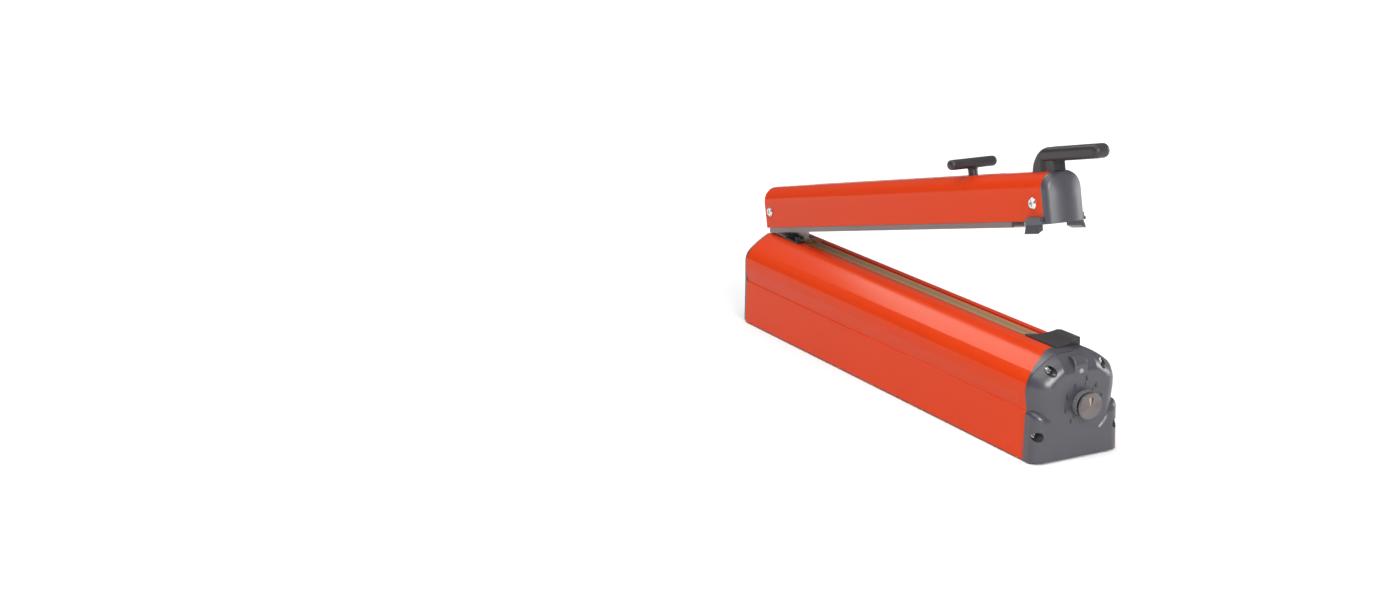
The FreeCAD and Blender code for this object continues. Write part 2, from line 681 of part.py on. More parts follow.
def helix_wire(at, radius, height, turns):
    """A coil's centre line as arcs of a quarter turn."""
    def spot(step):
        angle = step * math.pi / 2
        return at + V(radius * math.cos(angle), radius * math.sin(angle), height * step / (4 * turns))
    arcs = [Part.Arc(spot(step), spot(step + 0.5), spot(step + 1)).toShape() for step in range(4 * turns)]
    return Part.Wire(arcs)


def lift_springs():
    """Two coil springs that push the arm open, one on each side of the blade."""
    coil_r, wire_r, turns, height = 3.9, 0.6, 5, 16.4
    coils = []
    for y in (-9.2, 9.2):
        foot = V(number(along("22")), y, number("top_height + 2") + wire_r + 0.1)
        path = helix_wire(foot, coil_r, height, turns)
        ring = Part.Wire(Part.Circle(foot + V(coil_r, 0, 0), V(0, 1, 0), wire_r).toShape())
        coils.append(path.makePipeShell([ring], True, False))
    print("spring turns are apart by", round(height / turns - 2 * wire_r, 2), "mm")
    made = doc.addObject("Part::Feature", "lift_springs")
    made.Shape = Part.Compound(coils)
    piece("lift_springs", made)


def switch():
    """Arm switch under the top, its black guide and the plunger that the arm presses."""
    at = (along("plunger_x"), "plunger_y")
    guide = box("guide_block", (along("34"), "-17.8", "top_height"),
                (along("61"), "-10.4", "top_height + 1.9"))
    bore = rod("guide_bore", "plunger_r + running_gap", (*at, "top_height - 1"), "5")
    piece("switch_guide", cut("switch_guide", guide, bore))
    body = box("switch_body", (along("44"), "plunger_y - 4.4", "top_height - 20"),
               (along("64"), "plunger_y + 4.4", "top_height - 8"))
    well = rod("switch_well", "plunger_r + 0.4", (*at, "top_height - 12"), "5")
    piece("microswitch", cut("microswitch", body, well))
    piece("switch_plunger", turned("switch_plunger", [
        ("0", "top_height - 8.4"), ("plunger_r", "top_height - 8.4"), ("plunger_r", "plunger_top - 1"),
        ("arc", "2.6", 1), ("0.8", "plunger_top"), ("0", "plunger_top")], (*at, "0"), "Z"))


def transformer():
    """Mains transformer: laminated core with a mounting strap, winding and fixing screws."""
    low, left = "skirt_bottom + 2", 162
    core = box("core_block", (along(left), "-20", low), (along(left + 76), "20", "68"))
    strap = box("core_strap", (along(left - 12), "-15", low), (along(left + 88), "15", f"{low} + 2"))
    windows = []
    for spot, start in enumerate((left + 13, left + 51), 1):
        windows.append(box(f"core_window_{spot}", (along(start), "-21", "17"),
                           (along(start + 12), "21", "55")))
    holes, screws = [], []
    for spot, (x, y) in enumerate(transformer_tab_spots(), 1):
        holes.append(rod(f"strap_hole_{spot}", "1.95", (along(x), y, "skirt_bottom"), "6"))
        screws.append(turned(f"strap_screw_{spot}", [
            ("0", "0.6"), ("1.9", "0.6"), ("1.9", "4"), ("3.4", "4"), ("3.4", "5.6"), ("2", "6.6"),
            ("0", "6.6")], (along(x), y, "skirt_bottom"), "Z"))
    piece("transformer_core", cut("transformer_core", fuse("core_whole", core, strap), *windows, *holes))
    winding = box("winding_block", (along(left + 13.4), "-31", "17.4"), (along(left + 62.6), "31", "54.6"))
    limb = box("winding_room", (along(left + 24.6), "-20.4", "10"), (along(left + 51.4), "20.4", "60"))
    piece("transformer_winding", cut("transformer_winding", winding, limb))
    piece("transformer_screws", group("transformer_screws", *screws))


def timer():
    """Timer board in the housing's rails, and the potentiometer with its nut, shaft and knob."""
    board = box("board_sheet", (along("440"), "-45.4", "39.8"), (along("530"), "45.4", "41.4"))
    parts = [
        box("board_relay", (along("455"), "-30", "41"), (along("480"), "-12", "58")),
        rod("board_capacitor", "6", (along("500"), "20", "41"), "22"),
        box("board_connector", (along("448"), "8", "41"), (along("458"), "38", "51")),
    ]
    piece("timer_board", fuse("timer_board", board, *parts))
    at = ("knob_y", "knob_z")
    inner = "cap_depth - cap_wall"
    piece("potentiometer", turned("potentiometer", [
        ("shaft_r + running_gap", "7.5"), ("8", "7.5"), ("8", inner), ("3.5", inner),
        ("3.5", "cap_depth + 4"), ("shaft_r + running_gap", "cap_depth + 4")], (up_front("0"), *at), "X"))
    piece("pot_nut", turned("pot_nut", [
        ("3.5", "cap_depth"), ("5.6", "cap_depth"), ("5.6", "cap_depth + 2"), ("3.5", "cap_depth + 2")],
        (up_front("0"), *at), "X"))
    piece("timer_shaft", turned("timer_shaft", [
        ("0", "8"), ("shaft_r", "8"), ("shaft_r", "cap_depth + 10"), ("0", "cap_depth + 10")],
        (up_front("0"), *at), "X"))
    knob_top, cap_top = "cap_depth + 9", "cap_depth + 10"
    piece("timer_knob", turned("timer_knob", [
        ("shaft_r", "cap_depth + 4.4"), ("6.4", "cap_depth + 4.4"), ("6.4", "cap_depth + 0.7"),
        ("knob_r - 0.4", "cap_depth + 0.7"), ("knob_r - 0.4", "cap_depth + 6.6"),
        ("knob_r - 1.2", "cap_depth + 7.2"), ("knob_r - 1.2", knob_top), ("knob_r - 4", knob_top),
        ("knob_r - 4", cap_top), ("shaft_r", cap_top)], (up_front("0"), *at), "X"))
    piece("knob_cap", turned("knob_cap", [
        ("knob_r - 4", knob_top), ("knob_r", knob_top), ("knob_r", "cap_depth + 10.8"),
        ("knob_r - 1.2", "cap_depth + 12"), ("0", "cap_depth + 12"), ("0", cap_top),
        ("knob_r - 4", cap_top)], (up_front("0"), *at), "X"))


def arm_profile(grow, foot):
    """Right half of the arm cover's section, grown outwards by some amount."""
    return [
        (f"arm_half + {grow}", foot),
        (f"arm_half + {grow}", "arm_bottom + arm_height - arm_round"),
        ("arc", f"arm_round + {grow}", 1),
        ("arm_half - arm_round", f"arm_bottom + arm_height + {grow}"),
    ]


def arm_cover():
    """Long cover of the arm: a rounded channel, open below, with a slot for the cutter along its top."""
    outer = prism("cover_outer", "YZ_Plane", mirrored(arm_profile("0", "arm_bottom")),
                  arm_x("0"), "arm_length")
    inner = prism("cover_inner", "YZ_Plane", mirrored(arm_profile("-wall", "arm_bottom - 1")),
                  arm_x("-1"), "arm_length + 2")
    slot = box("cover_slot", (arm_x("78"), "-slot_half", arm_z("30")),
               (arm_x("452"), "slot_half", arm_z("50")))
    pin_hole = rod("cover_pin_hole", "pin_r", (along("pivot_x"), "-25", "pivot_z"), "50", "Y")
    nose_hole = rod("cover_nose_hole", "2.5", (arm_x("517"), "-25", arm_z("16.4")), "50", "Y")
    piece("arm_cover", cut("arm_cover", outer, inner, slot, pin_hole, nose_hole), True)


def pressure_bar():
    """Extruded pressure bar with a rail for the soft strip, and the strip itself."""
    low = arm_z("-bar_drop")
    web_low, web_high = arm_z("-2.2"), arm_z("1")
    half = [
        ("6.3", low), ("8.2", low), ("8.2", web_low), ("18", web_low), ("18", low), ("20.6", low),
        ("20.6", arm_z("-0.3")), ("19.1", arm_z("-0.3")), ("19.1", arm_z("5")), ("16.6", arm_z("5")),
        ("16.6", web_high),
    ]
    path = [("-6.3", web_low), ("6.3", web_low)] + mirrored(half)
    bar = prism("bar", "YZ_Plane", path, arm_x("bar_rear"), "bar_front - bar_rear")
    tools = [
        box("bar_rear_room", (arm_x("0"), "-16", low + " - 1"), (arm_x("50"), "16", arm_z("6"))),
        box("bar_blade_room", (arm_x("49"), "-9", low + " - 1"), (arm_x("58"), "9", arm_z("6"))),
        box("bar_knife_slot", (arm_x("70"), "groove_y - groove_half", low + " - 1"),
            (arm_x("470"), "groove_y + groove_half", arm_z("6"))),
    ]
    piece("pressure_bar", cut("pressure_bar", bar, *tools), True)
    strip_half = [
        ("5.2", arm_z("-bar_drop - 1.5")), ("arc", "1", 1),
        ("6.2", arm_z("-bar_drop - 0.5")), ("6.2", web_low),
    ]
    strip = prism("silicone_strip", "YZ_Plane", mirrored(strip_half), arm_x("66"), "bar_front - 67")
    piece("silicone_strip", strip, True)


def nose():
    """Moulded nose of the arm: a rounded front, a tongue in the cover and two flared guide feet."""
    sole, rim = arm_z("-3.2"), arm_z("3.6")
    face_x = number(arm_x("arm_length + nose_depth"))
    face = prism("nose_face", "YZ_Plane", mirrored(arm_profile("0", sole)), arm_x("arm_length"), "nose_depth")
    soften(face, "nose_face_round", "nose_depth - 0.8", lambda edge: (
        abs(edge.BoundBox.XMin - face_x) < 0.01 and edge.BoundBox.XLength < 0.01
        and edge.BoundBox.ZMax > number(arm_z("0"))))
    tongue = box("nose_tongue", (arm_x("503"), "-19", arm_z("5.2")),
                 (arm_x("arm_length + 1"), "19", arm_z("27")))
    parts = [face, tongue]
    for side, sign in (("left", "-"), ("right", "")):
        path = [
            (f"{sign}21.6", arm_z("-8.4")), (f"{sign}27.4", arm_z("-11.3")), (f"{sign}25", arm_z("-3.4")),
            (f"{sign}25", rim), (f"{sign}21.6", rim),
        ]
        parts.append(prism(f"{side}_foot", "YZ_Plane", path, arm_x("507"), "22"))
        ends = sorted((f"{sign}21.6", f"{sign}25"), key=number)
        parts.append(box(f"{side}_flank", (arm_x("507"), ends[0], sole), (arm_x("arm_length"), ends[1], rim)))
        ends = sorted((f"{sign}17", f"{sign}25"), key=number)
        parts.append(box(f"{side}_bridge", (arm_x("arm_length - 0.5"), ends[0], sole),
                         (arm_x("arm_length + 2"), ends[1], arm_z("-0.3"))))
    at = (arm_x("517"), "0", arm_z("16.4"))
    thread = rod("nose_thread", "2", (at[0], "-26", at[2]), "52", "Y")
    piece("arm_nose", cut("arm_nose", fuse("nose_whole", *parts), thread), True)
    screws = []
    for side, sign, axis in (("left", "-", "-Y"), ("right", "", "Y")):
        screw = turned(f"nose_screw_{side}_turned", [
            ("0", "9"), ("2", "9"), ("2", "arm_half"), ("5.6", "arm_half"), ("5.6", "arm_half + 1"),
            ("4.2", "arm_half + 2.4"), ("0", "arm_half + 2.4")], at, axis)
        slots = cross_recess(f"nose_screw_{side}_slot", at, "Y", f"{sign}(arm_half + 2.5)", "3", f"{sign}1.5")
        screws.append(cut(f"nose_screw_{side}", screw, *slots))
    piece("nose_screws", group("nose_screws", *screws), True)


def handle():
    """Horn-shaped handle: a leg on the arm's top that bends into a grip reaching past the nose."""
    low, high = arm_z("grip_low"), arm_z("grip_low + grip_thick")
    leg_rear, leg_front, leg_foot = arm_x("499"), arm_x("521"), arm_z("34")
    tip_r = "grip_thick / 2"
    path = [
        (leg_rear, leg_foot), (leg_front, leg_foot), (leg_front, low), (arm_x(f"handle_tip - {tip_r}"), low),
        ("arc", tip_r, 1), (arm_x("handle_tip"), arm_z(f"grip_low + {tip_r}")), ("arc", tip_r, 1),
        (arm_x(f"handle_tip - {tip_r}"), high), (f"{leg_rear} + elbow_r", high),
        ("arc", "elbow_r", 1), (leg_rear, f"{high} - elbow_r"),
    ]
    grip = prism("grip", "XZ_Plane", path, "0", "2 * handle_half", True)
    soften(grip, "grip_round", "5.5", lambda edge: (
        edge.BoundBox.YLength < 0.01 and edge.BoundBox.ZMax > number(arm_z("36"))))
    web = box("grip_web", (arm_x("519"), "-6.5", leg_foot), (arm_x("534"), "6.5", f"{low} + 2"))
    seat = prism("grip_seat", "YZ_Plane", mirrored(arm_profile("0", "arm_bottom")), arm_x("450"), "120")
    piece("handle", cut("handle", fuse("grip_whole", grip, web), seat), True)


def cutter():
    """Cutter: a carriage that slides in the arm, and a T-shaped knob that presses the knife down."""
    middle = "cutter_at"
    block = box("carriage_block", (arm_x(f"{middle} - 20"), "-18.9", arm_z("5.3")),
                (arm_x(f"{middle} + 20"), "18.9", arm_z("24")))
    well = box("carriage_well", (arm_x(f"{middle} - 7.5"), "-5", arm_z("0")),
               (arm_x(f"{middle} + 7.5"), "14", arm_z("30")))
    piece("cutter_carriage", cut("cutter_carriage", block, well), True)

    stem = rod("knob_stem", "neck_r", (arm_x(middle), "0", arm_z("12")), "42")
    flare = cone("knob_flare", "neck_r", "6", (arm_x(middle), "0", arm_z("50")), "3")
    foot = box("knob_foot", (arm_x(f"{middle} - 4"), "-4", arm_z("12")),
               (arm_x(f"{middle} + 4"), "10.6", arm_z("18")))
    bar_path = [
        ("-22", arm_z("51.5")), ("22", arm_z("51.5")),
        ("arc", "5", 1), ("27", arm_z("56.5")),
        ("arc", "5", 1), ("22", arm_z("61.5")), ("-22", arm_z("61.5")),
        ("arc", "5", 1), ("-27", arm_z("56.5")),
        ("arc", "5", 1),
    ]
    bar = prism("knob_bar", "YZ_Plane", bar_path, arm_x(f"{middle} - 6"), "12")
    soften(bar, "knob_bar_round", "3.6", lambda edge: edge.BoundBox.XLength < 0.01)
    piece("cutter_knob", fuse("cutter_knob", stem, flare, foot, bar), True)
    blade_path = [
        (arm_x(f"{middle} - 6"), arm_z("17")), (arm_x(f"{middle} - 6"), arm_z("1")),
        (arm_x(middle), arm_z("-5")),
        (arm_x(f"{middle} + 6"), arm_z("1")), (arm_x(f"{middle} + 6"), arm_z("17")),
    ]
    piece("cutter_blade", prism("cutter_blade", "XZ_Plane", blade_path, "-groove_y", "0.8", True), True)


def check_and_write():
    """Stops on any failed object or shape, then writes one file for each sub-part."""
    doc.recompute()
    failed = [item.Label for item in doc.Objects if {"Invalid", "Error"} & set(item.State)]
    for item in PIECES:
        shape = item.Shape
        if shape.isNull() or not shape.isValid() or not shape.Solids:
            failed.append(f"{item.Label} shape")
    if failed:
        raise RuntimeError(f"these did not build: {failed}")
    os.makedirs("parts", exist_ok=True)
    for item in PIECES:
        item.Shape.exportStep(f"parts/{item.Label}.step")
        print(item.Label, len(item.Shape.Solids), "solids", round(item.Shape.Volume), "mm3")
    whole = Part.Compound([item.Shape for item in PIECES]).BoundBox
    sides = (whole.XMin, whole.XMax, whole.YMin, whole.YMax, whole.ZMin, whole.ZMax)
    print("box", [round(side, 2) for side in sides])


for build in (housing, floor, front_cap, rear_cap, saddle, sealing_bed, hinge, lift_springs, switch,
              transformer, timer, arm_cover, pressure_bar, nose, handle, cutter):
    build()
check_and_write()
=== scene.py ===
import json
import math

import bpy
import numpy as np
from bpy.props import FloatProperty, FloatVectorProperty, IntProperty, PointerProperty
from mathutils import Matrix, Vector


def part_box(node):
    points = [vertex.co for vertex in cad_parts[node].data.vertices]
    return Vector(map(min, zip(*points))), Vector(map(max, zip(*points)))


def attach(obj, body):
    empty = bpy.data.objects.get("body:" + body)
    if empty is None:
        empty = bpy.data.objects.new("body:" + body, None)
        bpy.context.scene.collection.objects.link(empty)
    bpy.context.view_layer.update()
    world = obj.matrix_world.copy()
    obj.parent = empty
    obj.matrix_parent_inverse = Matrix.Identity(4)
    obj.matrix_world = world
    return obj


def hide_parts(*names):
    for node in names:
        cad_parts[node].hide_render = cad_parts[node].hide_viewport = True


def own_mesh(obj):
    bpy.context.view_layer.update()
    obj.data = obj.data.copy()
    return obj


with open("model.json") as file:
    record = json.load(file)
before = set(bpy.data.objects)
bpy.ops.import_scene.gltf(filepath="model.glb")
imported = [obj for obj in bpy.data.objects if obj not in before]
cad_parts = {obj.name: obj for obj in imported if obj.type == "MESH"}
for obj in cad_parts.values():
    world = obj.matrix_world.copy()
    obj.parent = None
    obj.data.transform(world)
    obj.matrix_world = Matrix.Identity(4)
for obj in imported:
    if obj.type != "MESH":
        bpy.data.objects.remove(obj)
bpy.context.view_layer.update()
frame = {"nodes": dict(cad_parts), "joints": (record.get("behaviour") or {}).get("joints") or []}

bl_info = {
    "name": "Impulse heat sealer",
    "version": (1, 0, 0),
    "blender": (4, 5, 0),
    "location": "View3D > Sidebar > Heat sealer",
    "description": "Finishes, dial marks and studio stage of a table-top impulse heat sealer",
    "category": "Object",
}

MM = 0.001
NODES = frame["nodes"]
JOINTS = {joint["name"]: joint for joint in frame["joints"]}

# The arm's own directions at rest, along it and square to its top.
ARM_AXIS = Vector(JOINTS["cutter_slide"]["axis"])
ARM_UP = Vector((-ARM_AXIS.z, 0, ARM_AXIS.x))
ARM_TURN = math.atan2(ARM_AXIS.z, ARM_AXIS.x)

# Where the timer's axis comes out of the front cap; the cap's flat face lies at the same X.
DIAL_PIN = JOINTS["timer_turn"]["pos_m"]
DIAL_OUT = np.array([1.0, 0, 0])

# A Mix node's two colour inputs and its colour output.
MIX_FROM, MIX_TO, MIX_RESULT = 6, 7, 2

# Softboxes: width and height, place, and the point that each one faces, in metres.
SOFTBOXES = {
    "key": ((1.05, 0.85), (2.2, -0.46, 1.2), (0.25, 0, 0.1)),
    "side": ((2.0, 1.6), (0.3, -1.2, 2.6), (0.1, 0, 0.1)),
    "crown": ((0.9, 1.1), (-1.75, -0.2, 1.9), (0, 0, 0.1)),
    "rim": ((0.8, 0.8), (0.7, 2.2, 0.7), (0.25, 0, 0.1)),
}

FLOOR_REACH = 30.0
# Distances from the part in metres between which the floor's own light grows, and its strengths.
GLOW_FROM, GLOW_TO = 0.4, 3.0
GLOW_NEAR, GLOW_FAR = 0.05, 0.8

# Up to this height of the direction, the studio's light is that of its walls.
WALL_TOP = 0.25

# The camera, fitted to the long edges of the housing and the arm in the photo.
CAMERA_AZIMUTH, CAMERA_HEIGHT, CAMERA_ROLL = (math.radians(turn) for turn in (56.60, 15.40, 1.24))
CAMERA_FROM_REAR = (2.07874, -1.17973, 0.67581)
CAMERA_SENSOR, CAMERA_LENS = 36.0, 56.02
CAMERA_SHIFT = (-0.1604, 0.0026)
CAMERA_CLIP = 50


def linear(code):
    """An sRGB hex colour as linear red, green, blue and alpha."""
    parts = np.array([int(code[spot:spot + 2], 16) for spot in (1, 3, 5)]) / 255
    parts = np.where(parts <= 0.04045, parts / 12.92, ((parts + 0.055) / 1.055) ** 2.4)
    return (*parts.tolist(), 1.0)


def colour_setting(name, code, description):
    return FloatVectorProperty(name=name, description=description, subtype="COLOR", size=4,
                               min=0, max=1, default=linear(code))


def length_setting(name, millimetres, description):
    return FloatProperty(name=name, description=description, unit="LENGTH", subtype="DISTANCE",
                         min=0, precision=5, default=millimetres * MM)


def angle_setting(name, degrees, description):
    return FloatProperty(name=name, description=description, unit="ROTATION", subtype="ANGLE",
                         default=math.radians(degrees))


def power_setting(name, watts, description):
    return FloatProperty(name=name, description=description, subtype="POWER", default=watts)


class SealerColours(bpy.types.PropertyGroup):
    coat: colour_setting("Coat", "#D63C12", "Powder coat of the housing and the arm")
    grey: colour_setting("Grey mouldings", "#3B3A41", "Caps and nose")
    dark: colour_setting("Dark mouldings", "#302C2E", "Handle, cutter knob and knife guard")
    tape: colour_setting("Tape", "#9F7C58", "Coated glass cloth over the heating wire")
    strip: colour_setting("Soft strip", "#C9C4BC", "Silicone strip under the arm")


class DialSizes(bpy.types.PropertyGroup):
    steps: IntProperty(name="Steps", description="Numbered steps of the dial",
                       default=8, min=2, max=12)
    first: angle_setting("First step", -139, "Angle of the first step from the top")
    step: angle_setting("Step", 36.5, "Angle from one step to the next")
    tick_inner: length_setting("Tick start", 14.8, "Radius where a tick starts")
    tick_outer: length_setting("Tick end", 17.4, "Radius where a tick ends")
    tick_width: length_setting("Tick width", 1.2, "Width of a numbered tick")
    between_length: length_setting("Short tick length", 1.2, "Length of a tick between steps")
    between_width: length_setting("Short tick width", 0.6, "Width of a tick between steps")
    middle_extra: length_setting("Middle step", 3.0, "How much further out the middle step is")
    numeral_radius: length_setting("Numeral radius", 20.8, "Radius of the numerals' middles")
    numeral_size: length_setting("Numeral size", 6.0, "Type size of the numerals")
    proud: length_setting("Relief", 0.9, "How far the marks stand out of the cap")
    sweep_radius: length_setting("Sweep radius", 32.4, "Radius of the sweep mark")
    sweep_start: angle_setting("Sweep start", 148, "Angle of the sweep mark's lower end")
    sweep_end: angle_setting("Sweep end", 117, "Angle of the sweep mark's upper end")
    sweep_proud: length_setting("Sweep relief", 1.1, "How far the sweep mark stands out of the cap")


class PointerSizes(bpy.types.PropertyGroup):
    inner: length_setting("Start", 0.4, "Radius where the pointer starts")
    outer: length_setting("End", 8.6, "Radius where the pointer ends")
    narrow: length_setting("Narrow end", 1.6, "Width at the start")
    broad: length_setting("Broad end", 6.0, "Width at the end")
    proud: length_setting("Relief", 0.15, "How far the pointer stands out of the disc")


class NoseSizes(bpy.types.PropertyGroup):
    half: length_setting("Half width", 17.1, "Half width of the rounded face")
    drop: length_setting("Drop", 47.7, "Lower edge of the face under the nose's top")
    upright: length_setting("Upright", 31.2, "Height of the face's upright sides")
    corner: length_setting("Corner", 12.1, "Rounding of the face's upper corners")
    swell: length_setting("Swell", 3.6, "How far the face bulges")


class SpringSizes(bpy.types.PropertyGroup):
    wire: length_setting("Wire", 0.6, "Radius of the spring wire")
    radius: length_setting("Radius", 3.9, "Radius of the coil's middle line")
    turns: IntProperty(name="Turns", description="Turns of each spring", default=5, min=2, max=12)


class StageSettings(bpy.types.PropertyGroup):
    floor: colour_setting("Floor", "#F2F2F2", "Colour of the floor sheet")
    key: power_setting("Key light", 48.0, "Power of the softbox in front of the timer end")
    side: power_setting("Side light", 25.0, "Power of the broad softbox along the near side")
    crown: power_setting("Crown light", 14.0, "Power of the softbox that draws a band on the crown")
    rim: power_setting("Rim light", 20.0, "Power of the softbox on the far side")
    walls: FloatProperty(name="Walls", description="Strength of the light from the studio's walls",
                         default=0.15, min=0)
    ceiling: FloatProperty(name="Ceiling", description="Strength of the light from straight above",
                           default=0.84, min=0)


def node(tree, kind, inputs=None, **settings):
    """Adds one shader node, sets its properties, and fills or links the inputs that are named."""
    made = tree.nodes.new(kind)
    for name, value in settings.items():
        setattr(made, name, value)
    for socket, value in (inputs or {}).items():
        if isinstance(value, bpy.types.NodeSocket):
            tree.links.new(value, made.inputs[socket])
        else:
            made.inputs[socket].default_value = value
    return made


def finish(name, **sockets):
    """A material with one principled shader; values that are even all over sit on its sockets."""
    made = bpy.data.materials.new(name)
    made.use_nodes = True
    tree = made.node_tree
    tree.nodes.clear()
    shader = node(tree, "ShaderNodeBsdfPrincipled", sockets)
    node(tree, "ShaderNodeOutputMaterial", {"Surface": shader.outputs["BSDF"]})
    return made, tree, shader


def placed(tree, turn=0.0, centre=(0, 0, 0)):
    """Object coordinates from a centre, turned about Y where a pattern follows arm or knob."""
    where = node(tree, "ShaderNodeTexCoord").outputs["Object"]
    return node(tree, "ShaderNodeMapping",
                {"Vector": where, "Location": centre, "Rotation": (0, turn, 0)},
                vector_type="TEXTURE").outputs["Vector"]


def per_metre(millimetres):
    """Scale of a noise texture whose features are about that many millimetres wide."""
    return 1 / (millimetres * MM)


def waves_per_metre(millimetres):
    """Scale of a wave texture with that pitch; the texture runs through 20 radians in each unit."""
    return per_metre(millimetres) * 2 * math.pi / 20


def shaded(colour, factor):
    """A colour made darker or lighter by a factor."""
    return (*[min(1, part * factor) for part in colour[:3]], 1.0)


def wear(tree, shader, where, colour, patch, spread, rough, rough_spread):
    """Slow changes of shade and gloss over patches of a width in millimetres. Gives the shade."""
    cloud = node(tree, "ShaderNodeTexNoise",
                 {"Vector": where, "Scale": per_metre(patch), "Detail": 4.0}).outputs["Fac"]
    tint = node(tree, "ShaderNodeMix", {
        "Factor": cloud, MIX_FROM: shaded(colour, 1 - spread), MIX_TO: shaded(colour, 1 + spread)},
        data_type="RGBA").outputs[MIX_RESULT]
    least, most = 0.3, 0.7  # where nearly all of the noise lies
    gloss = node(tree, "ShaderNodeMapRange", {
        "Value": cloud, "From Min": least, "From Max": most,
        "To Min": rough - rough_spread, "To Max": rough + rough_spread}).outputs["Result"]
    tree.links.new(tint, shader.inputs["Base Color"])
    tree.links.new(gloss, shader.inputs["Roughness"])
    return tint


def relief(tree, shader, height, depth, strength=1.0):
    """Relief from a height pattern whose full range is a depth in millimetres."""
    bump = node(tree, "ShaderNodeBump",
                {"Height": height, "Distance": depth * MM, "Strength": strength})
    tree.links.new(bump.outputs["Normal"], shader.inputs["Normal"])


def powder_coat(name, colour, turn, start, length):
    """Polyester powder coat: a satin skin with slight orange peel, sawn bare at both ends."""
    made, tree, shader = finish(name, **{
        "IOR": 1.45, "Specular IOR Level": 0.16, "Specular Tint": linear("#FFE3A0")})
    where = placed(tree, turn, start)
    tint = wear(tree, shader, where, colour, patch=90, spread=0.035, rough=0.16, rough_spread=0.02)
    # Orange peel is about 1 mm wide; drawn at 3 mm so that it shows at the camera's distance.
    peel = node(tree, "ShaderNodeTexNoise",
                {"Vector": where, "Scale": per_metre(3.0), "Detail": 1.0}).outputs["Fac"]
    relief(tree, shader, peel, depth=0.012, strength=0.5)
    bare_edge = 0.15 * MM
    along = node(tree, "ShaderNodeSeparateXYZ", {"Vector": where}).outputs["X"]
    off = node(tree, "ShaderNodeMath", {0: along, 1: length / 2}, operation="SUBTRACT").outputs[0]
    away = node(tree, "ShaderNodeMath", {0: off}, operation="ABSOLUTE").outputs[0]
    sawn = node(tree, "ShaderNodeMath", {0: away, 1: length / 2 - bare_edge},
                operation="GREATER_THAN").outputs[0]
    both = node(tree, "ShaderNodeMix", {
        "Factor": sawn, MIX_FROM: tint, MIX_TO: linear("#8C8A88")},
        data_type="RGBA").outputs[MIX_RESULT]
    tree.links.new(both, shader.inputs["Base Color"])
    tree.links.new(sawn, shader.inputs["Metallic"])
    return made


def moulded(name, colour, rough, grain, depth, shine=0.5):
    """Injection moulded plastic: spark eroded grain of a width in millimetres, uneven gloss."""
    made, tree, shader = finish(name, **{"IOR": 1.53, "Specular IOR Level": shine})
    where = placed(tree)
    wear(tree, shader, where, colour, patch=40, spread=0.06, rough=rough, rough_spread=0.05)
    pits = node(tree, "ShaderNodeTexNoise", {
        "Vector": where, "Scale": per_metre(grain), "Detail": 2.0, "Roughness": 0.6}).outputs["Fac"]
    relief(tree, shader, pits, depth, strength=0.6)
    return made


def two_tone(name, low, high, axis, plane, rough, ribs=0):
    """Plastic in two colours, or a pointer in painted light and painted shade, that meet at a plane
    across an axis, ribbed on a knob.
    """
    made, tree, shader = finish(name, **{"IOR": 1.53, "Specular IOR Level": 0.4})
    where = placed(tree)
    tint = wear(tree, shader, where, low, patch=6, spread=0.06, rough=rough, rough_spread=0.05)
    place = node(tree, "ShaderNodeSeparateXYZ", {"Vector": where}).outputs[axis]
    beyond = node(tree, "ShaderNodeMath", {0: place, 1: plane}, operation="GREATER_THAN").outputs[0]
    both = node(tree, "ShaderNodeMix", {"Factor": beyond, MIX_FROM: tint, MIX_TO: high},
                data_type="RGBA").outputs[MIX_RESULT]
    tree.links.new(both, shader.inputs["Base Color"])
    if ribs:
        lap = node(tree, "ShaderNodeTexGradient", {"Vector": placed(tree, math.pi / 2, DIAL_PIN)},
                   gradient_type="RADIAL").outputs["Fac"]
        turns = node(tree, "ShaderNodeMath", {0: lap, 1: 2 * math.pi * ribs},
                     operation="MULTIPLY").outputs[0]
        rib = node(tree, "ShaderNodeMath", {0: turns}, operation="SINE").outputs[0]
        relief(tree, shader, rib, depth=0.25)
    return made


def drawn_metal(name, colour, rough, line, turn=0.0):
    """Extruded or drawn metal: fine die lines along the part, of a width in millimetres."""
    made, tree, shader = finish(name, **{"Metallic": 1.0, "Anisotropic": 0.4})
    where = placed(tree, turn)
    wear(tree, shader, where, colour, patch=30, spread=0.08, rough=rough, rough_spread=0.06)
    stretch = 60
    run = node(tree, "ShaderNodeMapping",
               {"Vector": where, "Scale": (1 / stretch, 1, 1)}).outputs["Vector"]
    lines = node(tree, "ShaderNodeTexNoise",
                 {"Vector": run, "Scale": per_metre(line), "Detail": 3.0}).outputs["Fac"]
    relief(tree, shader, lines, depth=0.05, strength=0.5)
    return made


def plated_metal(name, colour, rough, spangle):
    """Zinc plate or ground steel: cloudy crystals of a width in millimetres under an even shine."""
    made, tree, shader = finish(name, **{"Metallic": 1.0})
    where = placed(tree)
    wear(tree, shader, where, colour, patch=spangle, spread=0.14, rough=rough, rough_spread=0.09)
    grit = node(tree, "ShaderNodeTexNoise",
                {"Vector": where, "Scale": per_metre(0.6), "Detail": 2.0}).outputs["Fac"]
    relief(tree, shader, grit, depth=0.02, strength=0.4)
    return made


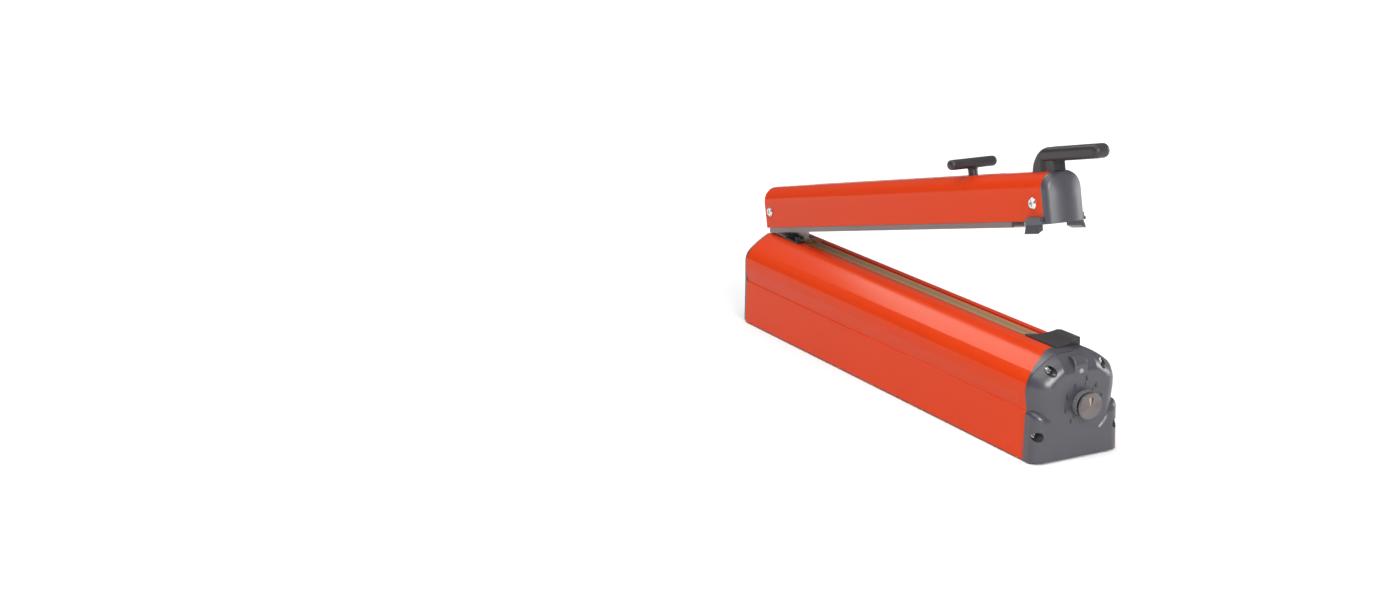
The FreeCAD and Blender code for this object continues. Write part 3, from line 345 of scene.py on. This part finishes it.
def spun_metal(name, colour, centre):
    """Aluminium faced on a lathe: rings round the knob's axis that spread the light into a fan."""
    made, tree, shader = finish(name, **{"Metallic": 1.0, "Anisotropic": 0.8})
    where = placed(tree, 0.0, centre)
    wear(tree, shader, where, colour, patch=8, spread=0.05, rough=0.34, rough_spread=0.04)
    around = node(tree, "ShaderNodeTangent", direction_type="RADIAL", axis="X").outputs["Tangent"]
    tree.links.new(around, shader.inputs["Tangent"])
    # Turning marks are about 0.1 mm apart; drawn at 1.5 mm so that they show.
    rings = node(tree, "ShaderNodeTexWave",
                 {"Vector": where, "Scale": waves_per_metre(1.5), "Distortion": 0.4},
                 wave_type="RINGS", rings_direction="X").outputs["Fac"]
    relief(tree, shader, rings, depth=0.015, strength=0.5)
    return made


def woven(name, colour, spacing):
    """PTFE coated glass cloth: a plain weave, thread spacing in millimetres, browned by heat."""
    made, tree, shader = finish(name, **{"IOR": 1.38})
    where = placed(tree)
    tint = wear(tree, shader, where, colour, patch=25, spread=0.10, rough=0.42, rough_spread=0.06)
    warp, weft = (
        node(tree, "ShaderNodeTexWave", {"Vector": where, "Scale": waves_per_metre(spacing)},
             wave_type="BANDS", bands_direction=direction).outputs["Fac"]
        for direction in ("X", "Y"))
    cross = node(tree, "ShaderNodeMath", {0: warp, 1: weft}, operation="MULTIPLY").outputs[0]
    relief(tree, shader, cross, depth=0.12, strength=0.6)
    # The heating wire under the middle browns the cloth, less and less towards its edges.
    across = node(tree, "ShaderNodeSeparateXYZ", {"Vector": where}).outputs["Y"]
    off = node(tree, "ShaderNodeMath", {0: across}, operation="ABSOLUTE").outputs[0]
    browned = node(tree, "ShaderNodeMapRange", {
        "Value": off, "From Min": 1.2 * MM, "From Max": 3.2 * MM,
        "To Min": 0.35, "To Max": 0.0}).outputs["Result"]
    heated = node(tree, "ShaderNodeMix", {
        "Factor": browned, MIX_FROM: tint, MIX_TO: linear("#5F4A30")},
        data_type="RGBA").outputs[MIX_RESULT]
    tree.links.new(heated, shader.inputs["Base Color"])
    return made


def layered(name, low, high, spacing, direction, metallic, rough):
    """Stacked sheets or wound turns: bands of two colours with a pitch in millimetres."""
    made, tree, shader = finish(name, **{"Metallic": metallic, "Roughness": rough})
    bands = node(tree, "ShaderNodeTexWave",
                 {"Vector": placed(tree), "Scale": waves_per_metre(spacing), "Distortion": 0.3},
                 wave_type="BANDS", bands_direction=direction).outputs["Fac"]
    tint = node(tree, "ShaderNodeMix", {
        "Factor": bands, MIX_FROM: linear(low), MIX_TO: linear(high)},
        data_type="RGBA").outputs[MIX_RESULT]
    tree.links.new(tint, shader.inputs["Base Color"])
    relief(tree, shader, bands, depth=0.15)
    return made


def rubber(name, colour, rough, grain):
    """Moulded rubber or silicone: matt, with a soft even grain of a width in millimetres."""
    made, tree, shader = finish(name, **{"IOR": 1.45})
    where = placed(tree)
    wear(tree, shader, where, colour, patch=15, spread=0.08, rough=rough, rough_spread=0.06)
    pits = node(tree, "ShaderNodeTexNoise",
                {"Vector": where, "Scale": per_metre(grain), "Detail": 2.0}).outputs["Fac"]
    relief(tree, shader, pits, depth=0.04, strength=0.6)
    return made


def lens(name, colour):
    """Clear polycarbonate lens: smooth, lets light through and keeps a small hot spot."""
    made, tree, shader = finish(name, **{"IOR": 1.58, "Transmission Weight": 0.6})
    wear(tree, shader, placed(tree), colour, patch=2, spread=0.1, rough=0.12, rough_spread=0.03)
    return made


def dress(material, *names):
    """Gives CAD nodes one material."""
    for name in names:
        slots = NODES[name].data.materials
        slots.clear()
        slots.append(material)


def material_of(name):
    """The material that a CAD node was given."""
    return NODES[name].data.materials[0]


def new_piece(name, mesh, material, body):
    """An object at the origin that rides on a body, with the material it is given in its one slot.
    """
    mesh.materials.clear()
    mesh.materials.append(material)
    made = bpy.data.objects.new(name, mesh)
    bpy.context.scene.collection.objects.link(made)
    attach(made, body)
    return made


def surface_mesh(name, points, faces):
    """A mesh from an array of points and an array of faces."""
    mesh = bpy.data.meshes.new(name)
    mesh.from_pydata(points.tolist(), [], faces.tolist())
    mesh.validate()
    return mesh


def tube_faces(rows, columns):
    """Quads of a tube of rows by columns, facing outwards; drawn-in end rows close it."""
    row, column = np.meshgrid(np.arange(rows - 1), np.arange(columns), indexing="ij")
    after = (column + 1) % columns
    quads = np.stack([row * columns + column, row * columns + after,
                      (row + 1) * columns + after, (row + 1) * columns + column], axis=-1)
    return quads.reshape(-1, 4)


def drawn_in(along, power):
    """Share of the full section from one end, 0, to the other, 1: the root of one less a high power
    of the distance from the middle, which is full almost everywhere and nothing at both ends."""
    return np.sqrt(np.clip(1 - np.abs(2 * along - 1) ** power, 0, 1))


def raised_line(base, radii, angles, width, proud, rows=24, columns=12, lean=0.0):
    """A raised line on a face across the dial's axis. Its middle runs from one radius and angle to
    another about the dial. Round it a section of a width is carried, half round or with as many
    corners as columns, whose top may lean to one side, and which is drawn in at both ends."""
    along = np.linspace(0, 1, rows)
    radius = radii[0] + (radii[1] - radii[0]) * along
    angle = angles[0] + (angles[1] - angles[0]) * along
    middle = np.stack([np.full(rows, base), DIAL_PIN[1] + radius * np.sin(angle),
                       DIAL_PIN[2] + radius * np.cos(angle)], axis=1)
    run = np.gradient(middle, axis=0)
    run /= np.linalg.norm(run, axis=1, keepdims=True)
    side = np.cross(run, DIAL_OUT)
    share = drawn_in(along, power=12)
    half = np.asarray(width) / 2 * share
    turn = np.linspace(0, 2 * np.pi, columns, endpoint=False)
    aside = half[:, None] * (np.cos(turn) + lean * np.clip(np.sin(turn), 0, 1))
    outwards = proud * share[:, None] * np.sin(turn)
    points = (middle[:, None, :] + side[:, None, :] * aside[..., None]
              + DIAL_OUT * outwards[..., None])
    return points.reshape(-1, 3), tube_faces(rows, columns)


def extent(name, direction):
    """Least and greatest place of a node's points along a direction."""
    vertices = NODES[name].data.vertices
    points = np.empty(3 * len(vertices))
    vertices.foreach_get("co", points)
    run = points.reshape(-1, 3) @ np.array(direction)
    return float(run.min()), float(run.max())


def rounded_face(front, low, sizes, rows=40, columns=24):
    """A shallow pillow on the arm's nose, closed by a flat back. Across, it swells as a parabola
    between the edges of the face, which are upright and then close in on a quarter circle. Upwards
    the swell stays even and then falls off as a parabola to the upper edge. The lowest and highest
    rows are drawn in."""
    sunk, back = 0.5 * MM, 0.4 * MM
    top = sizes.upright + sizes.corner
    rise = np.concatenate([[0.0], np.linspace(0, top, rows - 2), [top]])
    over = np.clip(rise - sizes.upright, 0, sizes.corner)
    half = sizes.half - sizes.corner + np.sqrt(sizes.corner ** 2 - over ** 2)
    half[[0, -1]] = 0
    fall = np.clip((rise - top / 2) / (top / 2), 0, 1)
    share = np.linspace(-1, 1, columns)
    bulge = sizes.swell * (1 - share ** 2) * (1 - fall ** 2)[:, None]
    bulge[[0, -1]] = 0
    depth = np.concatenate([bulge, np.full((rows, columns), -back)], axis=1)
    across = half[:, None] * np.concatenate([share, share[::-1]])
    points = ((front - sunk + depth)[..., None] * np.array(ARM_AXIS)
              + (low + rise)[:, None, None] * np.array(ARM_UP)
              + across[..., None] * np.array([0, 1.0, 0]))
    return points.reshape(-1, 3), tube_faces(rows, 2 * columns)


def coil(foot, radius, wire, turns, height, rows=240, columns=12):
    """A coil spring: its middle line goes round a circle while it climbs evenly, and a round wire
    is carried along it at right angles to the line and drawn in at both ends."""
    along = np.linspace(0, 1, rows)
    turn = 2 * np.pi * turns * along
    out = np.stack([np.cos(turn), np.sin(turn), np.zeros(rows)], axis=1)
    middle = np.array(foot) + radius * out + np.array([0, 0, height]) * along[:, None]
    run = np.gradient(middle, axis=0)
    over = np.cross(run / np.linalg.norm(run, axis=1, keepdims=True), out)
    half = wire * drawn_in(along, power=240)[:, None]
    around = np.linspace(0, 2 * np.pi, columns, endpoint=False)
    points = (middle[:, None, :] + out[:, None, :] * (half * np.cos(around))[..., None]
              + over[:, None, :] * (half * np.sin(around))[..., None])
    return points.reshape(-1, 3), tube_faces(rows, columns)


def joined(parts):
    """One array of points and one of faces from several."""
    points, faces, start = [], [], 0
    for some_points, some_faces in parts:
        points.append(some_points)
        faces.append(some_faces + start)
        start += len(some_points)
    return np.concatenate(points), np.concatenate(faces)


def numeral_mesh(text, size, thickness, spot):
    """A numeral as a mesh that stands upright on the cap with its middle at a spot, raised both
    ways by a thickness."""
    curve = bpy.data.curves.new("numeral", "FONT")
    curve.body, curve.size, curve.extrude = text, size, thickness
    curve.align_x, curve.align_y = "CENTER", "CENTER"
    holder = bpy.data.objects.new("numeral", curve)
    bpy.context.scene.collection.objects.link(holder)
    bpy.context.view_layer.update()
    depsgraph = bpy.context.evaluated_depsgraph_get()
    mesh = bpy.data.meshes.new_from_object(holder.evaluated_get(depsgraph))
    bpy.data.objects.remove(holder)
    # The text's right, up and face go to +Y, +Z and +X.
    upright = Matrix(((0, 0, 1, 0), (1, 0, 0, 0), (0, 1, 0, 0), (0, 0, 0, 1)))
    mesh.transform(Matrix.Translation(spot) @ upright)
    return mesh


class SealerOperator:
    """What all steps share"""
    bl_options = {"REGISTER", "UNDO"}


class SEALER_OT_coat(SealerOperator, bpy.types.Operator):
    """Powder coats the housing and the arm cover"""
    bl_idname = "sealer.coat"
    bl_label = "Powder coat"

    def execute(self, context):
        coat = context.scene.sealer_colours.coat
        low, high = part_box("housing")
        dress(powder_coat("powder_coat_housing", coat, 0.0, (low.x, 0, 0), high.x - low.x),
              "housing")
        rear, front = extent("arm_cover", ARM_AXIS)
        dress(powder_coat("powder_coat_arm", coat, -ARM_TURN, ARM_AXIS * rear, front - rear),
              "arm_cover")
        return {"FINISHED"}


class SEALER_OT_mouldings(SealerOperator, bpy.types.Operator):
    """Gives the moulded plastic and rubber pieces their grain and colour"""
    bl_idname = "sealer.mouldings"
    bl_label = "Mouldings"

    def execute(self, context):
        colours = context.scene.sealer_colours
        dress(moulded("moulded_abs_grey", colours.grey, rough=0.35, grain=1.2, depth=0.02,
                      shine=0.66), "front_cap", "rear_cap", "arm_nose")
        dress(moulded("moulded_nylon_dark_grey", colours.dark, rough=0.36, grain=1.6, depth=0.03,
                      shine=0.32), "handle", "cutter_knob", "front_saddle")
        dress(moulded("moulded_nylon_black", linear("#1B1B1D"), rough=0.4, grain=1.0, depth=0.03),
              "cable_gland", "switch_guide", "microswitch", "switch_plunger", "cutter_carriage",
              "hinge_block")
        # The knob's ribs are about 0.8 mm apart; drawn at 1.4 mm so that they show.
        # The knob's colour turns from grey to black 6.7 mm out from the cap, over the groove next
        # to the disc.
        black_from = DIAL_PIN[0] + 6.7 * MM
        dress(two_tone("two_shot_knob", linear("#77777C"), linear("#151516"), "X", black_from,
                       rough=0.36, ribs=60), "timer_knob")
        dress(lens("clear_polycarbonate_lens", linear("#CFCFD3")), "indicator_lens")
        dress(rubber("black_nitrile_rubber", linear("#161616"), rough=0.75, grain=0.8),
              "rubber_feet")
        return {"FINISHED"}


class SEALER_OT_metals(SealerOperator, bpy.types.Operator):
    """Gives the bare metal pieces their finish"""
    bl_idname = "sealer.metals"
    bl_label = "Metals"

    def execute(self, context):
        dress(drawn_metal("extruded_aluminium_bare", linear("#7B6F6D"), rough=0.36, line=0.5,
                          turn=-ARM_TURN), "pressure_bar")
        dress(spun_metal("faced_aluminium", linear("#756F6E"), DIAL_PIN), "knob_cap")
        dress(plated_metal("zinc_plated_sheet", linear("#A9A7A2"), rough=0.38, spangle=9),
              "bottom_plate", "hinge_bracket")
        dress(plated_metal("bright_zinc_screws", linear("#D8D6D2"), rough=0.24, spangle=3),
              "bottom_screws", "front_cap_screws", "rear_cap_screws", "bracket_screws",
              "transformer_screws", "nose_screws", "hinge_pin", "hinge_screw", "pot_nut")
        dress(plated_metal("spring_steel", linear("#8A8681"), rough=0.3, spangle=2),
              "lift_springs", "cutter_blade", "timer_shaft")
        dress(plated_metal("stamped_brass", linear("#C9A45A"), rough=0.32, spangle=4),
              "rear_terminal", "front_terminal")
        dress(plated_metal("stamped_tin_case", linear("#B5B3B0"), rough=0.35, spangle=5),
              "potentiometer")
        return {"FINISHED"}


class SEALER_OT_sealing_strip(SealerOperator, bpy.types.Operator):
    """Gives the heating strip, its tape and the soft strip their finish"""
    bl_idname = "sealer.sealing_strip"
    bl_label = "Sealing strip"

    def execute(self, context):
        colours = context.scene.sealer_colours
        # Threads are about 0.5 mm apart; drawn at 3 mm so that the weave shows.
        dress(woven("ptfe_coated_glass_cloth", colours.tape, spacing=3.0), "ptfe_tape")
        dress(rubber("silicone_rubber", colours.strip, rough=0.6, grain=0.9), "silicone_strip")
        dress(rubber("silicone_bed", linear("#8A7A66"), rough=0.6, grain=0.9), "element_bed")
        dress(drawn_metal("resistance_ribbon", linear("#7E766C"), rough=0.34, line=0.4),
              "heating_wire")
        return {"FINISHED"}


class SEALER_OT_works(SealerOperator, bpy.types.Operator):
    """Gives the transformer and the timer board their finish"""
    bl_idname = "sealer.works"
    bl_label = "Inner works"

    def execute(self, context):
        # Laminations are 0.5 mm thick; drawn at 1 mm.
        dress(layered("varnished_laminations", "#2C2B2D", "#4A494C", spacing=1.0, direction="Y",
                      metallic=0.6, rough=0.5), "transformer_core")
        dress(layered("enamelled_copper_turns", "#6E3418", "#A85A2C", spacing=0.9, direction="Z",
                      metallic=0.7, rough=0.35), "transformer_winding")
        dress(moulded("glass_epoxy_board", linear("#1E5A38"), rough=0.4, grain=2.5, depth=0.05),
              "timer_board")
        return {"FINISHED"}


class SEALER_OT_nose(SealerOperator, bpy.types.Operator):
    """Rounds the front face of the arm's nose"""
    bl_idname = "sealer.nose"
    bl_label = "Nose face"

    def execute(self, context):
        sizes = context.scene.sealer_nose
        front = extent("arm_nose", ARM_AXIS)[1]
        low = extent("arm_nose", ARM_UP)[1] - sizes.drop
        mesh = surface_mesh("nose_face", *rounded_face(front, low, sizes))
        mesh.shade_smooth()
        crease = math.radians(40)
        mesh.set_sharp_from_angle(angle=crease)
        new_piece("nose_face", mesh, material_of("arm_nose"), "arm")
        return {"FINISHED"}


class SEALER_OT_springs(SealerOperator, bpy.types.Operator):
    """Winds the two lift springs at their rest height, fixed to the base"""
    bl_idname = "sealer.springs"
    bl_label = "Lift springs"

    def execute(self, context):
        sizes = context.scene.sealer_springs
        wire, radius = sizes.wire, sizes.radius
        low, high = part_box("lift_springs")
        middle, off = (low.x + high.x) / 2, high.y - radius - wire
        coils = [coil((middle, side * off, low.z + wire), radius, wire, sizes.turns,
                      high.z - low.z - 2 * wire) for side in (-1, 1)]
        mesh = surface_mesh("lift_spring_coils", *joined(coils))
        mesh.shade_smooth()
        made = new_piece("lift_spring_coils", mesh, material_of("lift_springs"), "base")
        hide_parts("lift_springs")
        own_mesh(made)
        return {"FINISHED"}


class SEALER_OT_dial(SealerOperator, bpy.types.Operator):
    """Raises the dial's ticks, numerals and sweep mark on the front cap"""
    bl_idname = "sealer.dial"
    bl_label = "Dial marks"

    def execute(self, context):
        sizes = context.scene.sealer_dial
        steps = sizes.first + sizes.step * np.arange(sizes.steps)
        further = np.zeros(sizes.steps)
        further[round(-sizes.first / sizes.step)] = sizes.middle_extra
        self.mark("dial_ticks", surface_mesh("dial_ticks", *self.ticks(sizes, steps, further)))
        self.mark("dial_sweep", surface_mesh("dial_sweep", *self.sweep(sizes)))
        for number, (angle, extra) in enumerate(zip(steps.tolist(), further.tolist()), 1):
            outwards = Vector((0, math.sin(angle), math.cos(angle)))
            spot = Vector(DIAL_PIN) + (sizes.numeral_radius + extra) * outwards
            mesh = numeral_mesh(str(number), sizes.numeral_size, sizes.proud, spot)
            self.mark(f"dial_numeral_{number}", mesh)
        return {"FINISHED"}

    def mark(self, name, mesh):
        """A mark of the cap's own plastic, fixed to the base."""
        new_piece(name, mesh, material_of("front_cap"), "base")

    def ticks(self, sizes, steps, further):
        """A long tick at each step and three short ones between each two."""
        inner, short = sizes.tick_inner, sizes.tick_inner + sizes.between_length
        between = (steps[:-1, None] + sizes.step * np.array([0.25, 0.5, 0.75])).ravel()
        lines = [raised_line(DIAL_PIN[0], (inner, sizes.tick_outer + extra), (angle, angle),
                             sizes.tick_width, sizes.proud) for angle, extra in zip(steps, further)]
        lines += [raised_line(DIAL_PIN[0], (inner, short), (angle, angle), sizes.between_width,
                              sizes.proud / 2, rows=12, columns=8) for angle in between]
        return joined(lines)

    def sweep(self, sizes, rows=24):
        """An arc about the dial whose width grows as half a sine wave from its ends inwards."""
        thin, growth = 0.8 * MM, 1.4 * MM
        width = thin + growth * np.sin(np.linspace(0, np.pi, rows))
        return raised_line(DIAL_PIN[0], (sizes.sweep_radius, sizes.sweep_radius),
                           (sizes.sweep_start, sizes.sweep_end), width, sizes.sweep_proud,
                           rows=rows, columns=4, lean=0.8)


class SEALER_OT_knob_mark(SealerOperator, bpy.types.Operator):
    """Sets the two-sided pointer on the timer knob's disc, its left facet painted lit and its right
    facet painted in shade
    """
    bl_idname = "sealer.knob_mark"
    bl_label = "Knob pointer"

    def execute(self, context):
        sizes, rows = context.scene.sealer_pointer, 24
        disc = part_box("knob_cap")[1].x
        width = np.linspace(sizes.narrow, sizes.broad, rows)
        mark = raised_line(disc, (sizes.inner, sizes.outer), (0.0, 0.0), width, sizes.proud,
                           rows=rows, columns=4)
        # Painted light and painted shade: the pale tan is the pointer's lit left facet and the dark
        # brown its shaded right facet, split at the dial's axis.
        pointer_light_and_shade = two_tone("pointer_enamel", linear("#9C8676"), linear("#2E2622"), "Y", DIAL_PIN[1],
                         rough=0.4)
        new_piece("knob_pointer", surface_mesh("knob_pointer", *mark), pointer_light_and_shade, "timer_dial")
        return {"FINISHED"}


class SEALER_OT_stage(SealerOperator, bpy.types.Operator):
    """Sets the floor, the lights and the camera"""
    bl_idname = "sealer.stage"
    bl_label = "Stage"

    def execute(self, context):
        scene, settings = context.scene, context.scene.sealer_stage
        scene.view_settings.view_transform = "Standard"
        self.floor_sheet(scene, settings)
        self.surround(scene, settings)
        for name, (size, place, target) in SOFTBOXES.items():
            self.softbox(scene, f"{name}_light", getattr(settings, name), size, place, target)
        self.photo_camera(scene)
        return {"FINISHED"}

    def floor_sheet(self, scene, settings):
        """A broad flat sheet that the part stands on."""
        corners = FLOOR_REACH * np.array([(-1, -1, 0), (1, -1, 0), (1, 1, 0), (-1, 1, 0)])
        mesh = surface_mesh("floor_sheet", corners, np.array([(0, 1, 2, 3)]))
        mesh.materials.append(self.floor_paper(settings))
        floor = bpy.data.objects.new("floor_sheet", mesh)
        scene.collection.objects.link(floor)

    def floor_paper(self, settings):
        """Matt white paper; where it is seen, some light of its own takes it to white, less so near
        the part, where it has to keep the part's shadow."""
        made, tree, shader = finish("floor_paper", **{
            "Base Color": settings.floor, "Roughness": 0.9, "Emission Color": (1, 1, 1, 1)})
        rays = node(tree, "ShaderNodeLightPath").outputs
        seen = node(tree, "ShaderNodeMath", {0: rays["Is Camera Ray"], 1: rays["Is Glossy Ray"]},
                    operation="MAXIMUM").outputs[0]
        seen = node(tree, "ShaderNodeMath", {0: seen, 1: rays["Is Transmission Ray"]},
                    operation="MAXIMUM").outputs[0]
        away = node(tree, "ShaderNodeVectorMath", {0: placed(tree)},
                    operation="LENGTH").outputs["Value"]
        glow = node(tree, "ShaderNodeMapRange", {
            "Value": away, "From Min": GLOW_FROM, "From Max": GLOW_TO,
            "To Min": GLOW_NEAR, "To Max": GLOW_FAR}).outputs["Result"]
        lift = node(tree, "ShaderNodeMath", {0: seen, 1: glow}, operation="MULTIPLY").outputs[0]
        tree.links.new(lift, shader.inputs["Emission Strength"])
        return made

    def surround(self, scene, settings):
        """A studio with dim walls and a ceiling that is brightest straight above."""
        world = bpy.data.worlds.new("studio")
        world.use_nodes = True
        tree = world.node_tree
        tree.nodes.clear()
        facing = node(tree, "ShaderNodeTexCoord").outputs["Generated"]
        rise = node(tree, "ShaderNodeSeparateXYZ", {"Vector": facing}).outputs["Z"]
        strength = node(tree, "ShaderNodeMapRange", {
            "Value": rise, "From Min": WALL_TOP, "From Max": 1.0,
            "To Min": settings.walls, "To Max": settings.ceiling}).outputs["Result"]
        light = node(tree, "ShaderNodeBackground", {"Color": (1, 1, 1, 1), "Strength": strength})
        node(tree, "ShaderNodeOutputWorld", {"Surface": light.outputs["Background"]})
        scene.world = world

    def softbox(self, scene, name, power, size, place, target):
        """An even rectangle of light that faces a point and stays out of the picture."""
        lamp = bpy.data.lights.new(name, "AREA")
        lamp.shape = "RECTANGLE"
        lamp.energy = power
        lamp.size, lamp.size_y = size
        made = bpy.data.objects.new(name, lamp)
        made.visible_camera = False
        made.location = place
        aim = Vector(target) - Vector(place)
        made.rotation_euler = aim.to_track_quat("-Z", "Y").to_euler()
        scene.collection.objects.link(made)

    def photo_camera(self, scene):
        """The camera, at the photo's angle and with the photo's frame shift."""
        flat = math.cos(CAMERA_HEIGHT)
        back = Vector((math.sin(CAMERA_AZIMUTH) * flat, -math.cos(CAMERA_AZIMUTH) * flat,
                       math.sin(CAMERA_HEIGHT)))
        right = Vector((math.cos(CAMERA_AZIMUTH), math.sin(CAMERA_AZIMUTH), 0))
        up = back.cross(right)
        level = right * math.cos(CAMERA_ROLL) + up * math.sin(CAMERA_ROLL)
        tall = up * math.cos(CAMERA_ROLL) - right * math.sin(CAMERA_ROLL)
        optics = bpy.data.cameras.new("photo_camera")
        optics.sensor_fit = "HORIZONTAL"
        optics.sensor_width, optics.lens = CAMERA_SENSOR, CAMERA_LENS
        optics.shift_x, optics.shift_y = CAMERA_SHIFT
        optics.clip_end = CAMERA_CLIP
        camera = bpy.data.objects.new("photo_camera", optics)
        spot = Vector((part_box("housing")[0].x, 0, 0)) + Vector(CAMERA_FROM_REAR)
        facing = Matrix((level, tall, back)).transposed().to_4x4()
        camera.matrix_world = Matrix.Translation(spot) @ facing
        scene.collection.objects.link(camera)
        scene.camera = camera


STEPS = (
    SEALER_OT_coat, SEALER_OT_mouldings, SEALER_OT_metals, SEALER_OT_sealing_strip, SEALER_OT_works,
    SEALER_OT_nose, SEALER_OT_springs, SEALER_OT_dial, SEALER_OT_knob_mark, SEALER_OT_stage,
)
SETTINGS = {
    "sealer_colours": SealerColours,
    "sealer_dial": DialSizes,
    "sealer_pointer": PointerSizes,
    "sealer_nose": NoseSizes,
    "sealer_springs": SpringSizes,
    "sealer_stage": StageSettings,
}


class SEALER_PT_panel(bpy.types.Panel):
    """Lists the settings and the steps that dress the heat sealer"""
    bl_idname = "SEALER_PT_panel"
    bl_label = "Heat sealer"
    bl_space_type = "VIEW_3D"
    bl_region_type = "UI"
    bl_category = "Heat sealer"

    def draw(self, context):
        for setting in SETTINGS:
            group = getattr(context.scene, setting)
            for name in group.__annotations__:
                self.layout.prop(group, name)
        for step in STEPS:
            self.layout.operator(step.bl_idname)


def register():
    for kind in (*SETTINGS.values(), *STEPS, SEALER_PT_panel):
        bpy.utils.register_class(kind)
    for name, kind in SETTINGS.items():
        setattr(bpy.types.Scene, name, PointerProperty(type=kind))


def unregister():
    for name in SETTINGS:
        delattr(bpy.types.Scene, name)
    for kind in reversed((*SETTINGS.values(), *STEPS, SEALER_PT_panel)):
        bpy.utils.unregister_class(kind)


def main():
    register()
    for step in STEPS:
        group, name = step.bl_idname.split(".")
        getattr(getattr(bpy.ops, group), name)()


if __name__ == "__main__":
    main()
